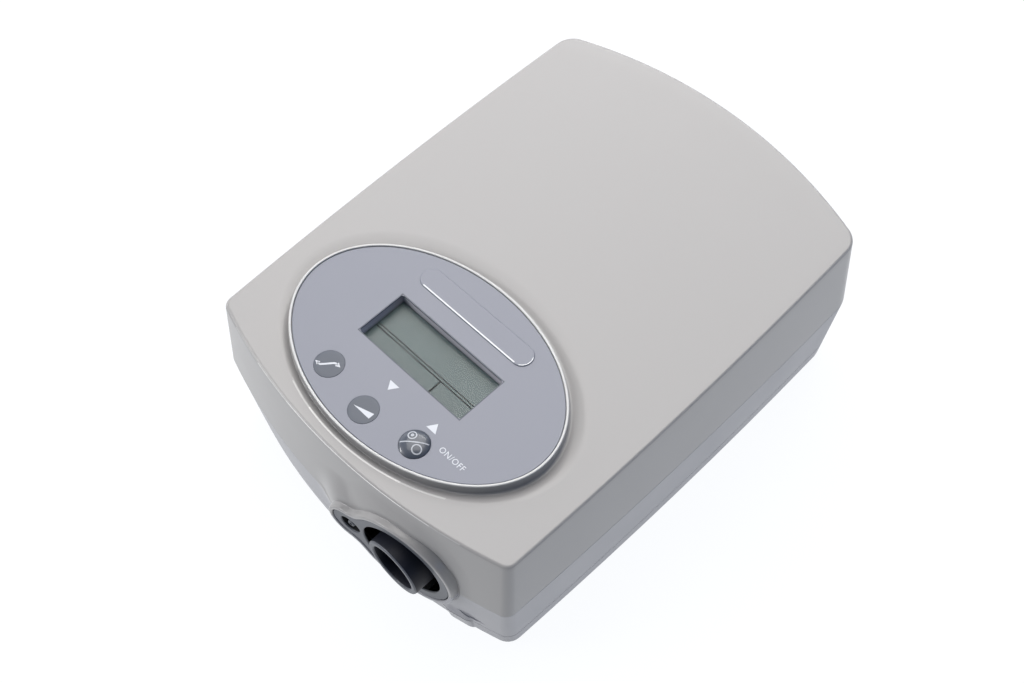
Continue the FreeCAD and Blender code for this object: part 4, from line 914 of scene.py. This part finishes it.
V, F = slab((PX - PA, PX + PA, PY - PB, PY + PB), 1.0, label_inside, 0.14, 0.5, (0, 0, 70.0), (1, 0, 0), (0, 1, 0), (0, 0, 1))
add("panel_label_film", V, F, M["film"], "case", "panel_label", sharp=60)

# the bare name plate: a raised stadium with a soft rounded edge; the bright line along its lower edge is painted on
# further down
V, F = slab((-28, 25, -34, -22), 0.5, lambda x, y: -sd_box(x, y, -27.0, 23.8, -32.4, -24.2, 4.09), 0.34, 0.05,
            (0, 0, 70.34), (1, 0, 0), (0, 1, 0), (0, 0, 1))
add("name_plate_blank", V, F, M["film"], "case", "blank_badge", sharp=70)


# keys: a flat disc with a soft edge; the on/off key is domed
def dome_z(r):
    return 70.05 + 1.45 * (1 - (np.clip(r, 0, 5.2) / 5.2) ** 2.7)


for name, (kx, ky) in KEYS.items():
    if name == "power":
        prof = [(5.09, 66.8), (5.09, 69.95), (5.07, 70.08)]
        prof += [(r, float(dome_z(r))) for r in (5.02, 4.92, 4.78, 4.62, 4.45, 4.3, 3.8, 3.1, 2.4, 1.6, 0.8, 0.02)]
        V, F = lathe(prof, (kx, ky, 0), "z", 72, closed=False)
        add("power_key_cap", V, F, M["dome"], "power_button", "power_key", sharp=60)
    else:
        prof = [(5.12, 66.8), (5.12, 69.99)] + arc(5.04, 69.99, 0.08, 0, 90, 4)[1:] + [(3.6, 70.08), (1.8, 70.07), (0.02, 70.065)]
        V, F = lathe(prof, (kx, ky, 0), "z", 72, closed=False)
        add(name + "_key_cap", V, F, M["key"], name + "_button", name + "_key", sharp=60)


# printed marks: thin inks a hair above the surface
def stroke(points, width, n_cap=6):
    """outline of a line of even width with round ends, as a polygon"""
    p = np.array(points, float)
    t = np.gradient(p, axis=0)
    t /= np.hypot(*t.T)[:, None]
    nrm = np.c_[-t[:, 1], t[:, 0]] * width / 2
    left, right = p + nrm, p - nrm
    cap1 = [p[-1] + np.array([math.cos(a), math.sin(a)]) * width / 2
            for a in np.linspace(math.atan2(nrm[-1][1], nrm[-1][0]), math.atan2(nrm[-1][1], nrm[-1][0]) - math.pi, n_cap + 2)[1:-1]]
    cap0 = [p[0] + np.array([math.cos(a), math.sin(a)]) * width / 2
            for a in np.linspace(math.atan2(-nrm[0][1], -nrm[0][0]), math.atan2(-nrm[0][1], -nrm[0][0]) - math.pi, n_cap + 2)[1:-1]]
    m = len(p)
    V = np.vstack([left, right])
    F = [(i, m + i, m + i + 1, i + 1) for i in range(m - 1)]
    n = len(V)
    V = np.vstack([V, cap1, cap0])
    F.append(tuple([m - 1] + [2 * m - 1] + list(range(n + len(cap1) - 1, n - 1, -1))))
    F.append(tuple([m] + [0] + list(range(n + len(cap1) + len(cap0) - 1, n + len(cap1) - 1, -1))))
    return np.c_[V, np.zeros(len(V))], F


def dense_line(a, b, n=24):
    return [(a[0] + (b[0] - a[0]) * k / n, a[1] + (b[1] - a[1]) * k / n) for k in range(n + 1)]


def loop(cx, cy, r, width, n=48):
    a = np.linspace(0, 2 * math.pi, n, endpoint=False)
    V = np.vstack([np.c_[cx + (r + width / 2) * np.cos(a), cy + (r + width / 2) * np.sin(a), 0 * a],
                   np.c_[cx + (r - width / 2) * np.cos(a), cy + (r - width / 2) * np.sin(a), 0 * a]])
    return V, [(i, (i + 1) % n, n + (i + 1) % n, n + i) for i in range(n)]


def disc(cx, cy, r, n=32):
    a = np.linspace(0, 2 * math.pi, n, endpoint=False)
    return np.c_[cx + r * np.cos(a), cy + r * np.sin(a), 0 * a], [tuple(range(n))]


def polygon(pts):
    p = np.array(pts, float)
    area = np.sum(p[:, 0] * np.roll(p[:, 1], -1) - np.roll(p[:, 0], -1) * p[:, 1])
    f = tuple(range(len(p)))
    return np.c_[p, np.zeros(len(p))], [f if area > 0 else tuple(reversed(f))]


def curve_points(pts, n=10):
    """smooth line through the points"""
    p = np.array(pts, float)
    out = []
    for i in range(len(p) - 1):
        p0, p1, p2, p3 = p[max(i - 1, 0)], p[i], p[i + 1], p[min(i + 2, len(p) - 1)]
        for t in np.arange(n) / n:
            out.append(0.5 * ((2 * p1) + (-p0 + p2) * t + (2 * p0 - 5 * p1 + 4 * p2 - p3) * t ** 2 + (-p0 + 3 * p1 - 3 * p2 + p3) * t ** 3))
    out.append(p[-1])
    return np.array(out)


def ink(name, parts, z, mat, body, lift=0.025):
    V, F = merge(*parts)
    zz = z(V) if callable(z) else z
    V[:, 2] = zz + lift
    F = [f if np.cross(V[f[1]] - V[f[0]], V[f[2]] - V[f[1]])[2] > 0 else tuple(reversed(f)) for f in F]
    return add(name, V, F, mat, body, None)


def words(text, x, y, size, shear=0.0):
    """flat outline letters lying on the panel, reading along +X"""
    cu = bpy.data.curves.new("words", "FONT")
    cu.body = text
    cu.size = size
    cu.resolution_u = 4
    cu.space_character = 1.1
    o = bpy.data.objects.new("words", cu)
    bpy.context.scene.collection.objects.link(o)
    bpy.context.view_layer.update()
    me = bpy.data.meshes.new_from_object(o)
    V = np.array([v.co for v in me.vertices])
    F = [tuple(p.vertices) for p in me.polygons]
    bpy.data.objects.remove(o)
    V[:, 0] += x
    V[:, 1] += y
    return V, F


onoff = words("ON/OFF", 0, 0, 2.9)
w = onoff[0][:, 0].max() - onoff[0][:, 0].min()
onoff[0][:, 0] = 25.6 + (onoff[0][:, 0] - onoff[0][:, 0].min()) * 10.6 / w
onoff[0][:, 1] = -70.75 + onoff[0][:, 1] * 1.0
ink("label_print", [polygon([(-3.8, -64.2), (0.4, -64.2), (-1.7, -67.3)]), polygon([(16.7, -67.6), (20.9, -67.6), (18.8, -64.4)]), onoff],
    70.0, M["ink"], "case")
# painted shade: a dark line drawn round the display opening, standing in for the shadowed edge of its recess
w0, w1, w2, w3 = WIN
edging = [stroke(dense_line(a, b), 0.34) for a, b in (((w0 - 0.2, w2 - 0.2), (w1 + 0.2, w2 - 0.2)), ((w1 + 0.2, w2 - 0.2), (w1 + 0.2, w3 + 0.2)),
                                                     ((w1 + 0.2, w3 + 0.2), (w0 - 0.2, w3 + 0.2)), ((w0 - 0.2, w3 + 0.2), (w0 - 0.2, w2 - 0.2)))]
ink("display_edge_painted_shade", edging, 70.0, M["key"], "case", lift=0.012)
# painted highlight: a bright line along the lower edge of the name plate and round its right end
ink("name_plate_painted_highlight", [stroke(dense_line((-23.0, -31.95), (19.6, -31.95)), 0.5), stroke([(19.7 + 3.75 * math.cos(math.radians(a)), -28.3 + 3.75 * math.sin(math.radians(a))) for a in range(-62, 31, 6)], 0.3)],
    70.34, M["badge"], "case")
# information mark: a step with an arrow at each end
ink("info_key_print", [stroke(curve_points([(-25.2, -76.3), (-24.6, -76.3), (-24.0, -75.9), (-21.6, -73.1), (-21.0, -72.6), (-20.3, -72.5)]), 0.66),
                       polygon([(-26.6, -76.3), (-25.0, -75.5), (-25.0, -77.1)]), polygon([(-18.7, -72.5), (-20.4, -71.6), (-20.4, -73.4)])],
    70.07, M["ink"], "info_button")
ink("ramp_key_print", [polygon([(-5.4, -78.5), (1.9, -78.5), (1.9, -76.2)])], 70.07, M["ink"], "ramp_button")


def on_dome(V):
    kx, ky = KEYS["power"]
    return dome_z(np.hypot(V[:, 0] - kx, V[:, 1] - ky))


ink("power_key_print", [loop(16.5, -73.1, 1.35, 0.4), loop(16.5, -73.1, 0.32, 0.5, 20), stroke(dense_line((15.2, -77.2), (22.3, -71.7)), 0.4), loop(21.1, -75.6, 1.5, 0.4)],
    on_dome, M["ink_grey"], "power_button", lift=0.05)

# display marks on the cell, seen through the window
LZ = 66.0
bars = [rounded(-25.0, 22.0, y0, y1, LZ - 0.01, LZ + 0.03, 0.005, 1) for y0, y1 in ((-51.02, -50.6), (-52.14, -51.68))]
bars += [rounded(x0, x1, -58.4, -52.1, LZ - 0.01, LZ + 0.03, 0.005, 1) for x0, x1 in ((5.9, 6.6), (21.2, 21.5))]
V, F = merge(*bars)
add("lcd_segments", V, F, M["lcd_line"], "case", None)

# ---------------------------------------------------------------- outlet port


def plate_inside(u, w):
    x = PORT[0] + u * PU[0]
    s = -keyhole(u, w)
    s = np.minimum(s, np.hypot(x - PORT[0], w) - 15.4)
    s = np.minimum(s, sd_circle(u, w, LOBE_U, 0, 3.9))
    return s


V, F = slab((-29.4, 19.8, -19.8, 19.8), 0.6, plate_inside, 0.5, 0.0, PORT, PU, PW, PN)


def plate_wall(a, b):
    return True


# outer edge goes back along the plate's own normal, the recess along Y
u, w, n = port_uv(np.c_[V, np.zeros(len(V))])
rec = np.abs(np.hypot(V[:, 0] - PORT[0], V[:, 2] - PORT[2]) - 15.4) < 0.05
recset = {tuple(p) for p in V[rec]}
V, F = turn_in(V, F, lambda a, b: tuple(a) in recset and tuple(b) in recset, [lambda base: np.c_[np.zeros(len(base)), -81.6 - base[:, 1], np.zeros(len(base))]])
lobe = np.abs(np.hypot(port_uv(np.c_[V, np.zeros(len(V))])[0] - LOBE_U, V[:, 2] - PORT[2]) - 3.9) < 0.05
lobeset = {tuple(p) for p in V[lobe]}
V, F = turn_in(V, F, lambda a, b: tuple(a) in lobeset and tuple(b) in lobeset, [-PN * 9.6])
V, F = turn_in(V, F, lambda a, b: a[1] < -85 and tuple(a) not in recset and tuple(a) not in lobeset and abs(float(keyhole(*[q[0] for q in port_uv(np.array([[*a, 0.0]]))[:2]]))) < 0.05, [-PN * 2.6])
parts = [(V, F)]
# floor of the recess and of the sensing socket
parts.append(lathe([(15.5, -81.6), (13.4, -81.6), (12.6, -81.75), (11.3, -81.75)], (PORT[0], 0, PORT[2]), "y", 96, closed=False))
c = PORT + PU * LOBE_U - PN * 9.6
a = np.linspace(0, 2 * math.pi, 48, endpoint=False)
parts.append((np.vstack([c + np.outer(np.cos(a) * 3.95, PU) + np.outer(np.sin(a) * 3.95, PW), [c]]), [((i + 1) % 48, i, 48) for i in range(48)]))
V, F = merge(*parts)
# faces more than 1.2 mm behind the plate's face, in the recess and the sensing socket, take black: painted shade
_, _, back = port_uv(np.c_[V, np.zeros(len(V))])
recess_shade_index = [1 if back[list(f)].mean() < -1.2 else 0 for f in F]
add("port_plate", V, F, [M["port"], M["black"]], "case", "port_bezel", sharp=50, mat_index=recess_shade_index)

# 22 mm conical outlet with a turned-in lip
prof = [(11.2, -79.0), (11.2, -98.9)] + arc(10.75, -98.9 - 0.0, 0.45, 0, -60, 4)[1:]
prof = [(11.3, -78.2), (11.28, -84.0), (11.2, -98.9), (11.14, -99.3), (10.98, -99.6), (10.72, -99.77), (10.4, -99.8), (9.6, -99.8), (9.3, -99.74), (9.08, -99.55),
        (8.95, -99.2), (8.86, -97.5), (8.72, -90.0), (8.7, -80.0), (8.7, -66.2), (9.9, -66.1), (10.4, -66.6), (10.4, -76.4), (14.0, -76.4), (14.0, -78.2)]
V, F = lathe([(r, h) for r, h in prof], (PORT[0], 0, PORT[2]), "y", 128, closed=True)
F = [tuple(reversed(f)) for f in F]
# the end lip faces take the lighter port grey, a painted highlight round the outlet's rim
lip = [1 if V[list(f), 1].mean() < -99.3 else 0 for f in F]
add("outlet_cone", V, F, [M["nozzle"], M["port"]], "case", "outlet_nozzle", sharp=40, mat_index=lip)

# ---------------------------------------------------------------- floor, lights and camera
floor = bpy.data.meshes.new("floor")
floor.from_pydata([(-4, -4, 0), (4, -4, 0), (4, 4, 0), (-4, 4, 0)], [], [(0, 1, 2, 3)])
fl = bpy.data.objects.new("floor", floor)
bpy.context.scene.collection.objects.link(fl)
fm = bpy.data.materials.new("floor_paper")
fm.use_nodes = True
fb = fm.node_tree.nodes["Principled BSDF"]
fb.inputs["Base Color"].default_value = (0.06, 0.06, 0.06, 1)
fb.inputs["Emission Color"].default_value = (0.965, 0.98, 1.0, 1)
fb.inputs["Emission Strength"].default_value = 0.97
fb.inputs["Roughness"].default_value = 0.9
fb.inputs["Specular IOR Level"].default_value = 0.1
floor.materials.append(fm)


def softbox(name, loc, target, size, power, colour=(1, 1, 1)):
    li = bpy.data.lights.new(name, "AREA")
    li.shape = "RECTANGLE"
    li.size, li.size_y = size
    li.energy = power
    li.color = colour
    o = bpy.data.objects.new(name, li)
    bpy.context.scene.collection.objects.link(o)
    o.location = loc
    o.rotation_mode = "QUATERNION"
    o.rotation_quaternion = (Vector(target) - Vector(loc)).to_track_quat("-Z", "Y")
    return o


softbox("overhead", (-0.4, 0.5, 1.5), (0, 0, 0), (1.75, 1.75), 38.3, (1.0, 0.975, 0.94))
softbox("left_card", (-1.7, 0.1, 0.45), (0, 0, 0.05), (2.4, 0.8), 9.8, (0.97, 0.98, 1.0))
softbox("front_fill", (-0.93, -1.1, 0.8), (0, 0, 0.03), (0.8, 0.22), 12.8, (1.0, 0.99, 0.985))
softbox("back", (-1.1, 1.9, 1.2), (0, 0, 0.03), (2.2, 1.2), 9.5, (0.9, 0.95, 1.0))
softbox("right_card", (1.6, 0.95, 0.45), (0, 0, 0.04), (1.6, 0.5), 3.3, (0.22, 0.44, 1.0))
softbox("rear_strip", (-0.78, 1.44, 1.15), (0, 0, 0.06), (1.2, 0.12), 7.5, (1.0, 0.98, 0.96))

world = bpy.data.worlds.new("studio")
bpy.context.scene.world = world
world.use_nodes = True
bg = world.node_tree.nodes["Background"]
bg.inputs["Color"].default_value = (0.58, 0.76, 1.0, 1)
bg.inputs["Strength"].default_value = 0.17

cam = bpy.data.cameras.new("camera")
cam.lens = 49.51
cam.sensor_width = 36.0
cam.sensor_fit = "HORIZONTAL"
cam.clip_start, cam.clip_end = 0.01, 20.0
co = bpy.data.objects.new("camera", cam)
bpy.context.scene.collection.objects.link(co)
right = Vector((0.70185591, 0.71195364, -0.0228098))
down = Vector((0.59531863, -0.60385705, -0.53004943))
forward = Vector((-0.39114448, 0.35843922, -0.84765991))
rot = Matrix((right, -down, -forward)).transposed()
co.matrix_world = Matrix.Translation(Vector((0.19198, -0.19033, 0.45667))) @ rot.to_4x4()
bpy.context.scene.camera = co

scene = bpy.context.scene
scene.view_settings.view_transform = "Standard"
scene.view_settings.look = "None"
scene.view_settings.exposure = 0.0
scene.view_settings.gamma = 1.0

# the pieces that aren't rebuilt keep the CAD's shape with a finish of their own
for n, key in (("filter_door", "shell"), ("data_flap", "shell_low"), ("mains_inlet", "black")):
    nodes[n].data.materials.clear()
    nodes[n].data.materials.append(M[key])
